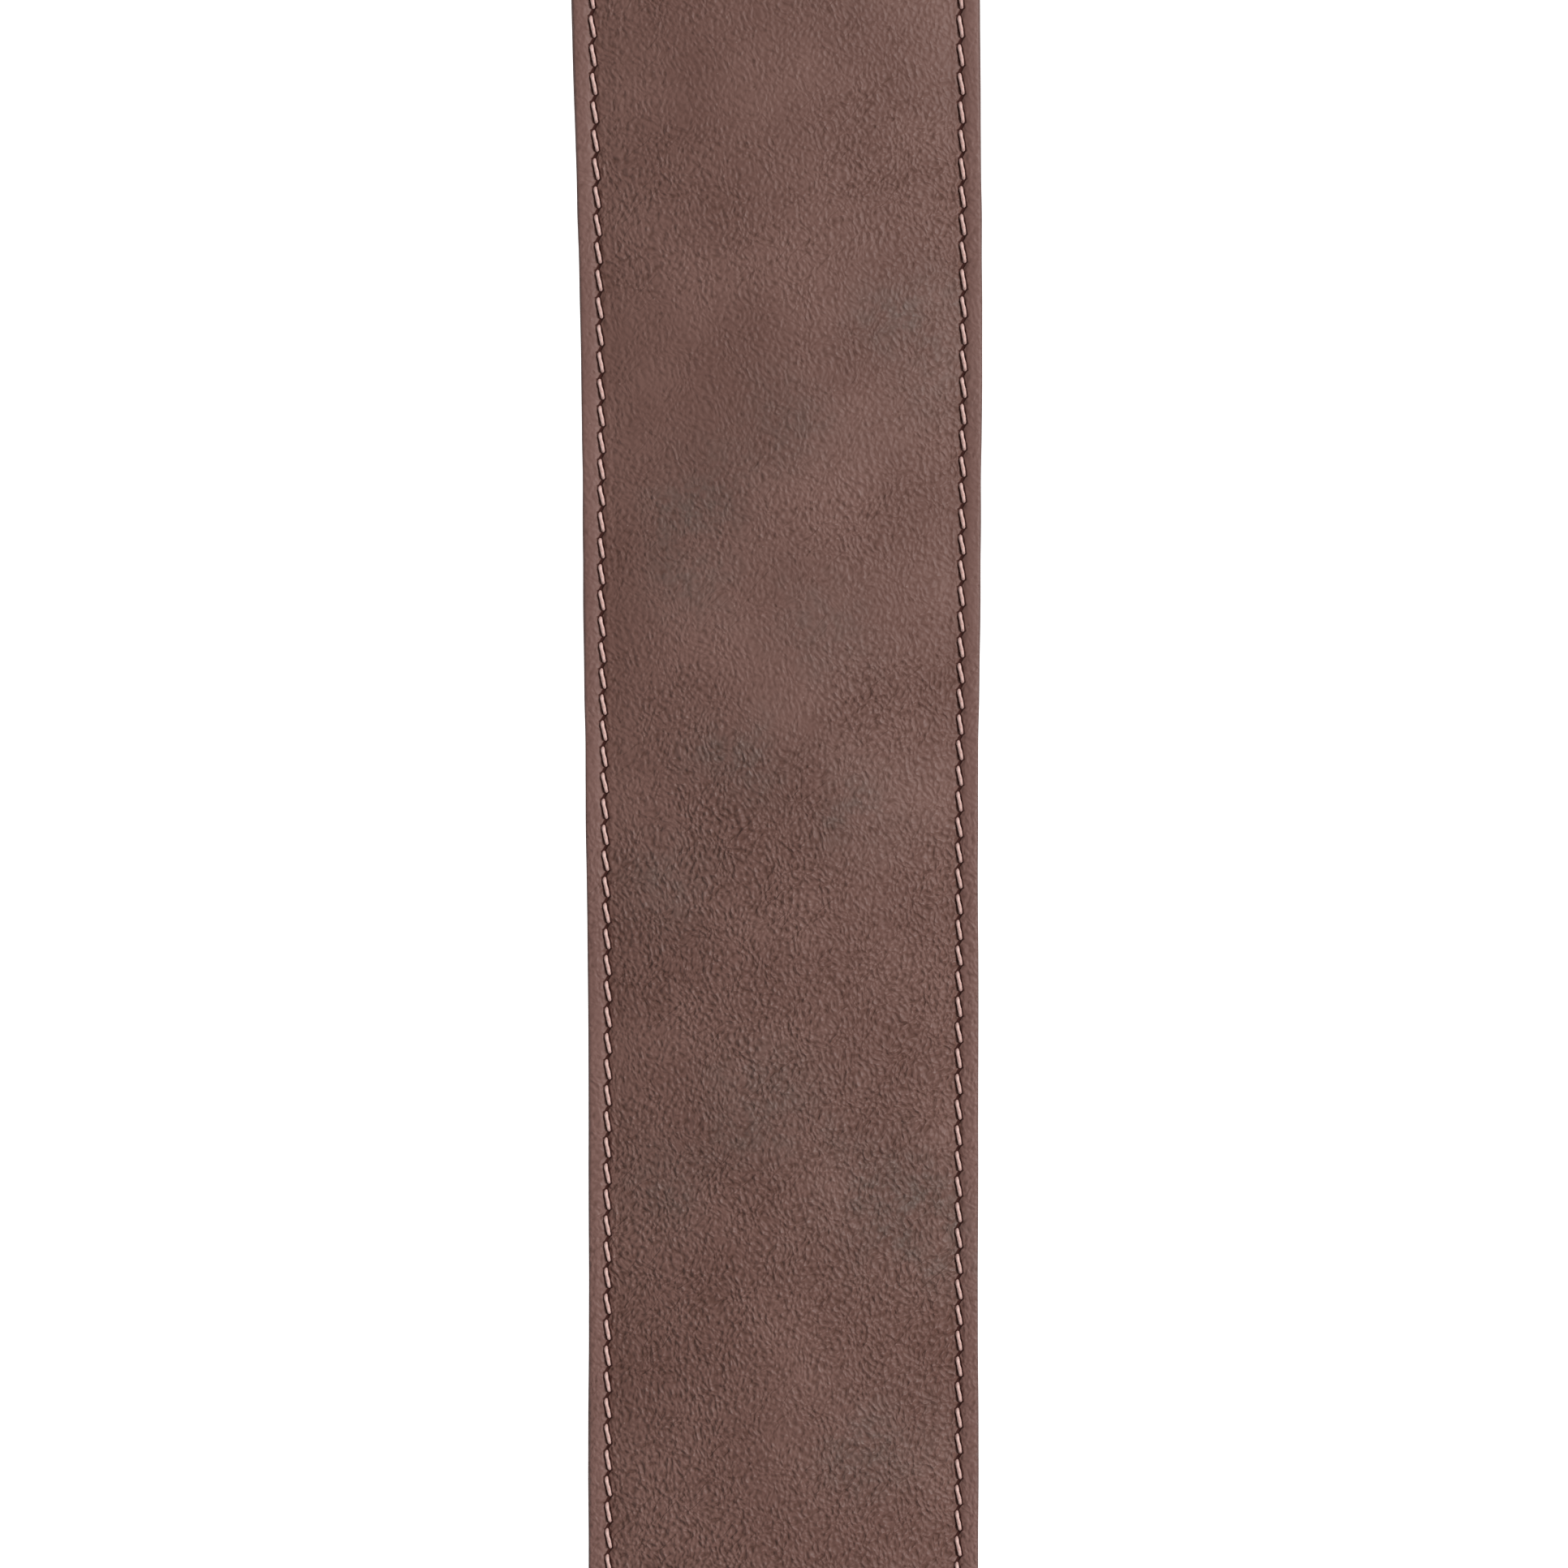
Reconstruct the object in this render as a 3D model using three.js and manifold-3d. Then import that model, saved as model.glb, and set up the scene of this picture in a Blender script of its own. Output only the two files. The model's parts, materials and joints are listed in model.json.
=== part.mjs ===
// A padded leather guitar strap, laid out flat and straight with its face up.
// Millimetres. +Y runs along the strap to its front tab, +X across it, +Z up out of its face.
// The origin is under the middle of the whole strap, on the surface that it lies on.
import * as THREE from "three";
import { mergeVertices } from "three/addons/utils/BufferGeometryUtils.js";
import Module from "manifold-3d";

const wasm = await Module();
wasm.setup();

// ---- driving dimensions: lengths along the strap ----
const MAIN_LENGTH = 730; // padded leather panel
const TAB_FREE = 52; // front tab beyond the panel
const KEEPER_REACH = 9; // panel's rear edge to the axis of the ring bar that it holds
const RING_PITCH = 16; // between the axes of the ring's two long bars
const LOOP_LENGTH = 110; // ring's far bar to the slider's middle
const TAIL_LENGTH = 322; // slider's middle to the tip of the rear tab
const REAR_TAB_LENGTH = 100;
const ROOT_LENGTH = 38; // of each piece that is sewn inside another
const FLEX_GAP = 4; // bending line between a tab and what it is sewn to

// ---- driving dimensions: widths ----
const REAR_HALF = 31.2; // half widths of the panel: rear, shoulder and front end
const SHOULDER_HALF = 32.75;
const FRONT_HALF = 28;
const SHOULDER_START = 60; // the panel widens between these two places
const SHOULDER_END = 290;
const TAPER_LENGTH = 75;
const REAR_CORNER = 8;
const FRONT_CORNER = 20;
const TAB_WIDTH = 34;
const KEEPER_WIDTH = 44;
const WEBBING_WIDTH = 50;
const BUTTON_HOLE = 9.5; // diameter
const SLIT_LENGTH = 12;
const SLIT_WIDTH = 0.8;
const HOLE_FROM_TIP = 17;

// ---- driving dimensions: thicknesses, bottom to top ----
const GAP = 0.05; // between pieces that touch
const BACKING = 1.0;
const FACE_LEATHER = 1.2;
const CORE = 2.6; // foam, tab root or folded keeper
const WEBBING = 1.3;
const TAB_LAYER = 1.55; // each layer of the rear tab
const THREAD_WIDTH = 0.7;
const THREAD_HEIGHT = 0.35;
const SEAM_INSET = 3.2; // middle of each seam inside the edge
const GROOVE_DEPTH = 0.55; // channel that keeps the back thread off the surface
const PAD_INSET = 7; // where the padded middle starts to rise
const PAD_RUN = 5; // how far it rises over
const CORE_INSET = 9;
const WIRE = 4; // ring bar
const WIRE_ROUND = 1.7; // radius of the ring bar's long edges
const SLIDER = { halfX: 30, halfY: 15, corner: 4, bar: 4, side: 4, thick: 2.4, edge: 0.6, low: 4.6 };

// ---- places worked out from them ----
const TOTAL = TAB_FREE + MAIN_LENGTH + KEEPER_REACH + RING_PITCH + LOOP_LENGTH + TAIL_LENGTH;
const TAB_TIP = TOTAL / 2;
const MAIN_FRONT = TAB_TIP - TAB_FREE;
const MAIN_REAR = MAIN_FRONT - MAIN_LENGTH;
const KEEPER_BAR = MAIN_REAR - KEEPER_REACH;
const LOOP_BAR = KEEPER_BAR - RING_PITCH;
const SLIDER_Y = LOOP_BAR - LOOP_LENGTH;
const REAR_TIP = SLIDER_Y - TAIL_LENGTH;
const REAR_TAB = REAR_TIP + REAR_TAB_LENGTH;
const CORE_LOW = BACKING + GAP;
const CORE_HIGH = CORE_LOW + CORE;
const BORDER_TOP = CORE_LOW + FACE_LEATHER;
const PAD_TOP = CORE_HIGH + GAP + FACE_LEATHER;
const RING_Z = 3.9; // height of the ring's bars
const BAR_CLEARANCE = 0.35;

// ---- materials ----
const finish = (color, roughness, metalness = 0) =>
  new THREE.MeshStandardMaterial({ color, roughness, metalness });
const FACE = finish(0x6e534c, 0.62);
const SUEDE = finish(0x5a4034, 0.95);
const FOAM = finish(0x8a8a86, 0.9);
const THREAD = finish(0xd7b4ac, 0.7);
const THICK_LEATHER = finish(0x4c3028, 0.55);
const WEAVE = finish(0x33241e, 0.85);
const METAL = finish(0xb4b0a8, 0.3, 1);

// ---- solids and booleans ----
function solid(geometry) {
  const bare = geometry.clone();
  bare.deleteAttribute("normal");
  bare.deleteAttribute("uv");
  const merged = mergeVertices(bare, 1e-4);
  const vertProperties = merged.attributes.position.array;
  const triVerts = new Uint32Array(merged.index.array);
  return new wasm.Manifold(new wasm.Mesh({ numProp: 3, vertProperties, triVerts }));
}

function geometryOf(made) {
  const { vertProperties, triVerts } = made.getMesh();
  const geometry = new THREE.BufferGeometry();
  geometry.setAttribute("position", new THREE.BufferAttribute(vertProperties, 3));
  geometry.setIndex(new THREE.BufferAttribute(triVerts, 1));
  geometry.computeVertexNormals();
  return geometry;
}

const cut = (first, ...others) => others.reduce((left, other) => left.subtract(other), first);

// A flat outline, seen from above, between two heights.
function plate(shape, low, high) {
  const geometry = new THREE.ExtrudeGeometry(shape, {
    depth: high - low,
    bevelEnabled: false,
    curveSegments: 8,
  });
  return solid(geometry.translate(0, 0, low));
}

// The same with rounded top and bottom edges, inside the outline.
function roundedPlate(shape, low, high, edge, bevelSegments) {
  const geometry = new THREE.ExtrudeGeometry(shape, {
    depth: high - low - 2 * edge,
    bevelThickness: edge,
    bevelSize: edge,
    bevelOffset: -edge,
    bevelSegments,
    curveSegments: 4,
  });
  return solid(geometry.translate(0, 0, low + edge));
}

// A side view, with y to the right and z up, carried across the strap.
function crosswise(shape, width) {
  const geometry = new THREE.ExtrudeGeometry(shape, { depth: width, bevelEnabled: false });
  const [across, along, up] = [0, 1, 2].map((axis) => new THREE.Vector3().setComponent(axis, 1));
  geometry.translate(0, 0, -width / 2);
  return solid(geometry.applyMatrix4(new THREE.Matrix4().makeBasis(along, up, across)));
}

// ---- outlines ----
const point = (a, b) => new THREE.Vector2(a, b);
const outline = (pairs) => new THREE.Shape(pairs.map(([a, b]) => point(a, b)));
const rectangle = (x0, x1, y0, y1) => [[x0, y0], [x1, y0], [x1, y1], [x0, y1]];

function arc(cx, cy, radius, from, to, steps) {
  return Array.from({ length: steps + 1 }, (_, i) => {
    const angle = THREE.MathUtils.degToRad(from + ((to - from) * i) / steps);
    return [cx + radius * Math.cos(angle), cy + radius * Math.sin(angle)];
  });
}

function roundedRectangle(halfX, halfY, corner, cx = 0, cy = 0) {
  const [x, y] = [halfX - corner, halfY - corner];
  const corners = [[x, -y, -90], [x, y, 0], [-x, y, 90], [-x, -y, 180]];
  return corners.flatMap(([px, py, from]) => arc(cx + px, cy + py, corner, from, from + 90, 4));
}

// ---- the main panel's outline ----
const halfWidth = (y) =>
  REAR_HALF +
  (SHOULDER_HALF - REAR_HALF) * THREE.MathUtils.smoothstep(y, SHOULDER_START, SHOULDER_END) -
  (SHOULDER_HALF - FRONT_HALF) * THREE.MathUtils.smoothstep(y, MAIN_FRONT - TAPER_LENGTH, MAIN_FRONT);

const between = (from, to, steps) =>
  Array.from({ length: steps + 1 }, (_, i) => from + ((to - from) * i) / steps);
const WIDTH_CHANGES = [
  ...between(SHOULDER_START, SHOULDER_END, 6),
  ...between(MAIN_FRONT - TAPER_LENGTH, MAIN_FRONT, 6),
];

// One side of the panel, from y0 to y1, at a distance inside its edge.
function side(sign, inset, y0, y1) {
  const ys = [y0, ...WIDTH_CHANGES.filter((y) => y > y0 + 1 && y < y1 - 1), y1];
  return ys.map((y) => [sign * (halfWidth(y) - inset), y]);
}

function panelShape() {
  const front = arc(FRONT_HALF - FRONT_CORNER, MAIN_FRONT - FRONT_CORNER, FRONT_CORNER, 12, 90, 6);
  const rear = arc(REAR_HALF - REAR_CORNER, MAIN_REAR + REAR_CORNER, REAR_CORNER, -90, -12, 4);
  const edge = side(1, 0, MAIN_REAR + REAR_CORNER, MAIN_FRONT - FRONT_CORNER);
  const right = [...rear, ...edge, ...front];
  return outline([...right, ...right.map(([x, y]) => [-x, y]).reverse()]);
}

function channelShape(inset, y0, y1) {
  return outline([...side(1, inset, y0, y1), ...side(-1, inset, y0, y1).reverse()]);
}

function seamShape(sign, width) {
  const [y0, y1] = [MAIN_REAR + SEAM_INSET, MAIN_FRONT - FRONT_CORNER];
  const outer = side(sign, SEAM_INSET - width / 2, y0, y1);
  const inner = side(sign, SEAM_INSET + width / 2, y0, y1);
  return outline([...outer, ...inner.reverse()]);
}

// ---- tabs ----
function buttonHole(y, towardsPanel, low, high) {
  const slit = rectangle(-SLIT_WIDTH / 2, SLIT_WIDTH / 2, 0, SLIT_LENGTH * towardsPanel);
  const round = plate(outline(arc(0, y, BUTTON_HOLE / 2, 0, 345, 23)), low, high);
  return round.add(plate(outline(slit.map(([x, dy]) => [x, y + dy])), low, high));
}

function frontTabShape(y0, y1) {
  const half = TAB_WIDTH / 2;
  const tip = arc(0, y1 - half, half, 0, 180, 16);
  return outline([[half, y0], ...tip, [-half, y0]]);
}

function rearTabShape(inset) {
  const wide = WEBBING_WIDTH / 2 - inset;
  const narrow = TAB_WIDTH / 2 - inset;
  const waist = REAR_TAB - ROOT_LENGTH - 6;
  const tip = arc(0, REAR_TIP + TAB_WIDTH / 2, narrow, 180, 360, 16);
  const taper = between(0, 1, 5).map((t) => [
    wide + (narrow - wide) * THREE.MathUtils.smoothstep(t, 0, 1),
    waist - 24 * t,
  ]);
  const left = taper.map(([x, y]) => [-x, y]);
  const top = REAR_TAB - inset;
  return outline([[-wide, top], ...left, ...tip, ...taper.reverse(), [wide, top]]);
}

// ---- webbing: a route in side view, given a thickness and carried across ----
function ribbon(route, thickness, width) {
  const at = (i) => point(...route[Math.min(Math.max(i, 0), route.length - 1)]);
  const offset = (half) =>
    route.map((_, i) => {
      const along = at(i + 1).sub(at(i - 1)).normalize();
      return [at(i).x - along.y * half, at(i).y + along.x * half];
    });
  const half = thickness / 2;
  return crosswise(outline([...offset(half), ...offset(-half).reverse()]), width);
}

const smooth = (route, steps) =>
  new THREE.SplineCurve(route.map(([y, z]) => point(y, z))).getPoints(steps).map((p) => p.toArray());
const shifted = (route, dy) => route.map(([y, z]) => [y + dy, z]);
const webbing = (route) => ribbon(route, WEBBING, WEBBING_WIDTH);

const TURN_RADIUS = WIRE / 2 + BAR_CLEARANCE + WEBBING / 2;
const TURN_STRAIGHT = 6;
const LOW_Z = RING_Z - TURN_RADIUS; // webbing that leaves under the ring
const HIGH_Z = RING_Z + TURN_RADIUS; // webbing that leaves over it
const UNDER_BARS = SLIDER.low - 0.25 - WEBBING / 2; // webbing that passes under the outer bars
const RETURN_Z = LOW_Z + WEBBING + 0.1; // the sewn-back end, on the anchored leg
const TAIL_Z = 0.85;
const REAR_TAB_Z = TAB_LAYER + GAP + WEBBING / 2;
const MIDDLE_Z = SLIDER.low + SLIDER.thick / 2;
const WRAP_RADIUS = SLIDER.thick / 2 + BAR_CLEARANCE + WEBBING / 2 + 0.05;
const WRAP_OFFSET = 1.2; // centres of the wrap's two rounds, either side of the middle bar
const BRIDGE_RADIUS = WRAP_RADIUS + WEBBING + 0.1;
const LEG_END = 17; // where the legs meet what the slider carries, from its middle
const FOLD_START = 13;
const FOLD_END = 36;

// Routes near the slider, from its middle.
const HALF_BRIDGE = [
  ...arc(WRAP_OFFSET, MIDDLE_Z, BRIDGE_RADIUS, 90, 38, 4),
  [6.7, 5.35],
  [8.3, 4.15],
  [10.2, UNDER_BARS],
  [LEG_END - GAP, UNDER_BARS],
];
const BRIDGE = [...HALF_BRIDGE.map(([y, z]) => [-y, z]).reverse(), ...HALF_BRIDGE];
const FOLD = [
  [FOLD_START, LOW_Z],
  [9.4, LOW_Z],
  [6.4, 1.6],
  [4.3, 2.75],
  [2.4, 3.42],
  ...arc(-WRAP_OFFSET, MIDDLE_Z, WRAP_RADIUS, 270, 90, 8),
  ...arc(WRAP_OFFSET, MIDDLE_Z, WRAP_RADIUS, 90, 38, 4),
  [5.2, 4.75],
  [7.1, 3.05],
  [9.6, RETURN_Z],
  [FOLD_END, RETURN_Z],
];

// ---- every piece ----
const strap = new THREE.Group();

function piece(name, made, material) {
  const mesh = new THREE.Mesh(geometryOf(made), material);
  mesh.name = name;
  strap.add(mesh);
}

function rivetHoles(low, high, radius) {
  const holes = RIVETS.map(({ x }) => plate(outline(arc(x, RIVET_Y, radius, 0, 330, 11)), low, high));
  return holes[0].add(holes[1]);
}

const RIVETS = [
  { name: "left", x: -12 },
  { name: "right", x: 12 },
];
const RIVET_Y = MAIN_REAR + 14;
const POST = 1.5;
const CAP = 4.6;
const BACK_CAP = 4.2;
const BACK_CAP_LOW = 0.06;
const BACK_CAP_HEIGHT = 0.6;
const BACK_RECESS = 0.72;
const RUN_OUT = 12; // how far a cutter passes the panel's ends

function frontLeather() {
  const padShape = channelShape(PAD_INSET, MAIN_REAR - RUN_OUT, MAIN_FRONT + RUN_OUT);
  const rise = PAD_TOP - BORDER_TOP;
  const pad = new THREE.ExtrudeGeometry(padShape, {
    depth: 0.1,
    bevelThickness: rise,
    bevelSize: PAD_RUN,
    bevelOffset: -PAD_RUN,
    bevelSegments: 3,
  });
  const raised = solid(pad.translate(0, 0, BORDER_TOP - 0.1));
  const panel = panelShape();
  const border = plate(panel, CORE_LOW, BORDER_TOP);
  const inside = plate(panel, CORE_LOW, PAD_TOP + 1);
  const pocketShape = channelShape(CORE_INSET, MAIN_REAR - RUN_OUT, MAIN_FRONT + RUN_OUT);
  const pocket = plate(pocketShape, CORE_LOW - 1, CORE_HIGH + GAP);
  return cut(border.add(raised.intersect(inside)), pocket, rivetHoles(0, PAD_TOP + 1, POST + 0.15));
}

function backing() {
  const grooves = [-1, 1].map((sign) => plate(seamShape(sign, THREAD_WIDTH + 0.5), -1, GROOVE_DEPTH));
  const recess = rivetHoles(-1, BACK_RECESS, BACK_CAP + 0.2);
  const posts = rivetHoles(-1, BACKING + 1, POST + 0.15);
  return cut(plate(panelShape(), 0, BACKING), ...grooves, recess, posts);
}

function ringKeeper() {
  const inner = WIRE / 2 + BAR_CLEARANCE;
  const outer = inner + CORE / 2;
  const root = MAIN_REAR + ROOT_LENGTH;
  const mid = CORE_LOW + CORE / 2;
  const shape = outline([
    [root, CORE_LOW],
    [root, CORE_HIGH],
    [MAIN_REAR, CORE_HIGH],
    ...arc(KEEPER_BAR, RING_Z, outer, 66, 270, 12),
    [MAIN_REAR - 3, CORE_LOW - 0.3],
    [MAIN_REAR, CORE_LOW],
  ]);
  const eye = [[MAIN_REAR - 1, mid], ...arc(KEEPER_BAR, RING_Z, inner, 66, 290, 12)];
  shape.holes.push(new THREE.Path(eye.map(([y, z]) => point(y, z)).reverse()));
  return cut(crosswise(shape, KEEPER_WIDTH), rivetHoles(0, PAD_TOP, POST + 0.15));
}

function boxStitch(halfX, halfY, y, low) {
  const shape = outline(roundedRectangle(halfX, halfY, 1, 0, y));
  const inner = roundedRectangle(halfX - THREAD_WIDTH, halfY - THREAD_WIDTH, 0.6, 0, y).reverse();
  shape.holes.push(new THREE.Path(inner.map(([a, b]) => point(a, b))));
  return plate(shape, low, low + THREAD_HEIGHT);
}

function turned(profile) {
  const lathe = new THREE.LatheGeometry(profile.map(([r, z]) => point(r, z)), 16);
  return lathe.rotateX(Math.PI / 2);
}

function rivetCap(x) {
  const low = PAD_TOP + GAP;
  const post = BACK_CAP_LOW + BACK_CAP_HEIGHT + GAP;
  const dome = [[1, 0], [1, 0.6], [0.82, 1.3], [0.45, 1.8], [0, 2]];
  const cap = dome.map(([share, rise]) => [CAP * share, low + rise]);
  return solid(turned([[0, post], [POST, post], [POST, low], ...cap]).translate(x, RIVET_Y, 0));
}

function rivetBack(x) {
  const high = BACK_CAP_LOW + BACK_CAP_HEIGHT;
  const profile = [[0, BACK_CAP_LOW], [BACK_CAP - 0.5, BACK_CAP_LOW], [BACK_CAP, high], [0, high]];
  return solid(turned(profile).translate(x, RIVET_Y, 0));
}

function ring() {
  const halfX = 26 + WIRE;
  const halfY = (RING_PITCH + WIRE) / 2;
  const middle = (KEEPER_BAR + LOOP_BAR) / 2;
  const shape = outline(roundedRectangle(halfX, halfY, 2 + WIRE, 0, middle));
  const hole = roundedRectangle(halfX - WIRE, halfY - WIRE, 2, 0, middle).reverse();
  shape.holes.push(new THREE.Path(hole.map(([a, b]) => point(a, b))));
  return roundedPlate(shape, RING_Z - WIRE / 2, RING_Z + WIRE / 2, WIRE_ROUND, 2);
}

function slider() {
  const { halfX, halfY, corner, bar, side: sideBar, thick, edge, low } = SLIDER;
  const slotHalf = (halfY - bar - bar / 2) / 2;
  const slotY = bar / 2 + slotHalf;
  const shape = outline(roundedRectangle(halfX, halfY, corner, 0, SLIDER_Y));
  for (const sign of [-1, 1]) {
    const slot = roundedRectangle(halfX - sideBar, slotHalf, 1.2, 0, SLIDER_Y + sign * slotY).reverse();
    shape.holes.push(new THREE.Path(slot.map(([a, b]) => point(a, b))));
  }
  return roundedPlate(shape, low, low + thick, edge, 2);
}

// The rear tab's front layer lies over the webbing, then comes down on the back layer.
const REAR_STEP = REAR_TAB - ROOT_LENGTH;
const OVER_WEBBING = TAB_LAYER + 2 * GAP + WEBBING;
const ON_BACK_LAYER = TAB_LAYER + GAP;
function rearTabSlab(low, high) {
  const path = (lift) => [
    [REAR_TAB + 1, OVER_WEBBING + lift],
    [REAR_STEP - 0.5, OVER_WEBBING + lift],
    [REAR_STEP - 5, ON_BACK_LAYER + lift],
    [REAR_TIP - 1, ON_BACK_LAYER + lift],
  ];
  return crosswise(outline([...path(low), ...path(high).reverse()]), 2 * WEBBING_WIDTH);
}

function rearTabFront() {
  const tab = plate(rearTabShape(0), 0, 10).intersect(rearTabSlab(0, TAB_LAYER));
  return cut(tab, buttonHole(REAR_TIP + HOLE_FROM_TIP, 1, -1, 10));
}

function rearTabThread() {
  const loop = cut(
    plate(rearTabShape(SEAM_INSET - THREAD_WIDTH / 2), 0, 10),
    plate(rearTabShape(SEAM_INSET + THREAD_WIDTH / 2), -1, 11),
  );
  return loop.intersect(rearTabSlab(TAB_LAYER + GAP, TAB_LAYER + GAP + THREAD_HEIGHT));
}

// The padded panel.
piece("front_leather", frontLeather(), FACE);
const foamReach = [MAIN_REAR + ROOT_LENGTH + 1, MAIN_FRONT - ROOT_LENGTH - 1];
const foamShape = channelShape(CORE_INSET + 0.2, ...foamReach);
piece("foam_pad", plate(foamShape, CORE_LOW, CORE_HIGH), FOAM);
piece("backing", backing(), SUEDE);
for (const [name, sign] of [["left", -1], ["right", 1]]) {
  const row = seamShape(sign, THREAD_WIDTH);
  const face = BORDER_TOP + GAP;
  piece("front_seam_" + name, plate(row, face, face + THREAD_HEIGHT), THREAD);
  piece("back_seam_" + name, plate(row, 0.1, 0.1 + THREAD_HEIGHT), THREAD);
}

// The front tab, in two pieces that meet at its bending line.
const half = TAB_WIDTH / 2;
const root = outline(rectangle(-half, half, MAIN_FRONT - ROOT_LENGTH, MAIN_FRONT));
const freeTab = plate(frontTabShape(MAIN_FRONT + FLEX_GAP, TAB_TIP), CORE_LOW, CORE_HIGH);
piece("front_tab_root", plate(root, CORE_LOW, CORE_HIGH), THICK_LEATHER);
piece("front_tab", cut(freeTab, buttonHole(TAB_TIP - HOLE_FROM_TIP, -1, 0, 6)), THICK_LEATHER);
piece("front_box_stitch", boxStitch(12.5, 12.5, MAIN_FRONT - 21, PAD_TOP + GAP), THREAD);

// The ring and what holds it.
piece("ring_keeper", ringKeeper(), THICK_LEATHER);
piece("rear_box_stitch", boxStitch(18, 13, MAIN_REAR + 18, PAD_TOP + GAP), THREAD);
for (const { name, x } of RIVETS) {
  piece("rivet_" + name + "_cap", rivetCap(x), METAL);
  piece("rivet_" + name + "_back", rivetBack(x), METAL);
}
piece("ring", ring(), METAL);

// The webbing, from its anchored end to the rear tab, and the slider.
const turn = [
  [LOOP_BAR - TURN_STRAIGHT, HIGH_Z],
  ...arc(LOOP_BAR, RING_Z, TURN_RADIUS, 90, -90, 12),
  [LOOP_BAR - TURN_STRAIGHT, LOW_Z],
];
const runningLeg = smooth(
  [
    [SLIDER_Y + LEG_END, UNDER_BARS],
    [SLIDER_Y + 28, UNDER_BARS],
    [SLIDER_Y + 44, UNDER_BARS + 0.15],
    [SLIDER_Y + 72, HIGH_Z - 0.9],
    [LOOP_BAR - TURN_STRAIGHT - 8, HIGH_Z],
    [LOOP_BAR - TURN_STRAIGHT - GAP, HIGH_Z],
  ],
  16,
);
const anchorLeg = [[SLIDER_Y + FOLD_START + GAP, LOW_Z], [LOOP_BAR - TURN_STRAIGHT - GAP, LOW_Z]];
const tailEnd = REAR_TAB + FLEX_GAP;
const TAIL_STUB = 18; // stretch of webbing that meets the rear tab
const tail = smooth(
  [
    [SLIDER_Y - LEG_END, UNDER_BARS],
    [SLIDER_Y - 24, UNDER_BARS - 0.5],
    [SLIDER_Y - 44, TAIL_Z + 0.1],
    [SLIDER_Y - 60, TAIL_Z],
    [tailEnd + TAIL_STUB + GAP, TAIL_Z],
  ],
  16,
);
const tailStub = smooth(
  [
    [tailEnd + TAIL_STUB, TAIL_Z],
    [tailEnd + TAIL_STUB - 5, TAIL_Z + 0.1],
    [tailEnd + 5, REAR_TAB_Z - 0.1],
    [tailEnd, REAR_TAB_Z],
  ],
  8,
);
const tabEnd = [[REAR_TAB, REAR_TAB_Z], [REAR_STEP, REAR_TAB_Z]];
piece("webbing_turn", webbing(turn), WEAVE);
piece("webbing_running_leg", webbing(runningLeg), WEAVE);
piece("webbing_anchor_leg", webbing(anchorLeg), WEAVE);
piece("webbing_anchor_fold", webbing(shifted(FOLD, SLIDER_Y)), WEAVE);
piece("webbing_bridge", webbing(shifted(BRIDGE, SLIDER_Y)), WEAVE);
piece("webbing_tail", webbing(tail), WEAVE);
piece("webbing_tail_stub", webbing(tailStub), WEAVE);
piece("webbing_tab_end", webbing(tabEnd), WEAVE);
piece("slider", slider(), METAL);

// The rear tab.
const backLayer = plate(rearTabShape(0), 0, TAB_LAYER);
piece("rear_tab_front", rearTabFront(), THICK_LEATHER);
piece("rear_tab_back", cut(backLayer, buttonHole(REAR_TIP + HOLE_FROM_TIP, 1, -1, 10)), THICK_LEATHER);
piece("rear_tab_thread", rearTabThread(), THREAD);

export default strap;
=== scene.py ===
"""The looks of a padded leather guitar strap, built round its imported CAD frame.

+Y runs along the strap to its front tab, +X across it, +Z up out of its face. Shapes are worked out
in millimetres and turned into metres when a mesh is made. Routes are side views, as (y, z) points.
"""

import json
import math

import bpy
import numpy as np
from mathutils import Matrix, Vector


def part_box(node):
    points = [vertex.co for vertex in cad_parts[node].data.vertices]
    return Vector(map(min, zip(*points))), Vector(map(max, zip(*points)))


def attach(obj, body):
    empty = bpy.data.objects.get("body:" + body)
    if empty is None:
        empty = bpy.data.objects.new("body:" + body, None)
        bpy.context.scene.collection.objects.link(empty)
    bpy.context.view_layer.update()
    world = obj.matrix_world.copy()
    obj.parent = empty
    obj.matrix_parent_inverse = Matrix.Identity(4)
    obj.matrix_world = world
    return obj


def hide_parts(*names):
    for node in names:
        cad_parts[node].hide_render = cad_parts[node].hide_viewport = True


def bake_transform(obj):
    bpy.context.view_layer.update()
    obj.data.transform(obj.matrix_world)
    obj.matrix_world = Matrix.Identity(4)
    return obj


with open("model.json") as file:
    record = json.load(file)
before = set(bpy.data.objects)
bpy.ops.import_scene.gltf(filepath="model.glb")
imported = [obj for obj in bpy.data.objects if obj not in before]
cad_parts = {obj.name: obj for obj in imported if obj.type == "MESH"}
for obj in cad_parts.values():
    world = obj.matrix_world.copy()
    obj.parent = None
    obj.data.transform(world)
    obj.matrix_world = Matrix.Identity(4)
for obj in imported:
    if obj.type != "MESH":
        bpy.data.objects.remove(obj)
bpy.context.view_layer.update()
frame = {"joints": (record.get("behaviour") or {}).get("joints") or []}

MM = 0.001

# ---- places, from the frame


def box_mm(node):
    """Lowest and highest corner of a CAD node, in millimetres."""
    low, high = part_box(node)
    return np.array(low) / MM, np.array(high) / MM


def bar_mm(joint_name):
    """The (y, z) place of the ring bar that a joint turns about."""
    found = next(joint for joint in frame["joints"] if joint["name"] == joint_name)
    return found["pos_m"][1] / MM, found["pos_m"][2] / MM


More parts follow.
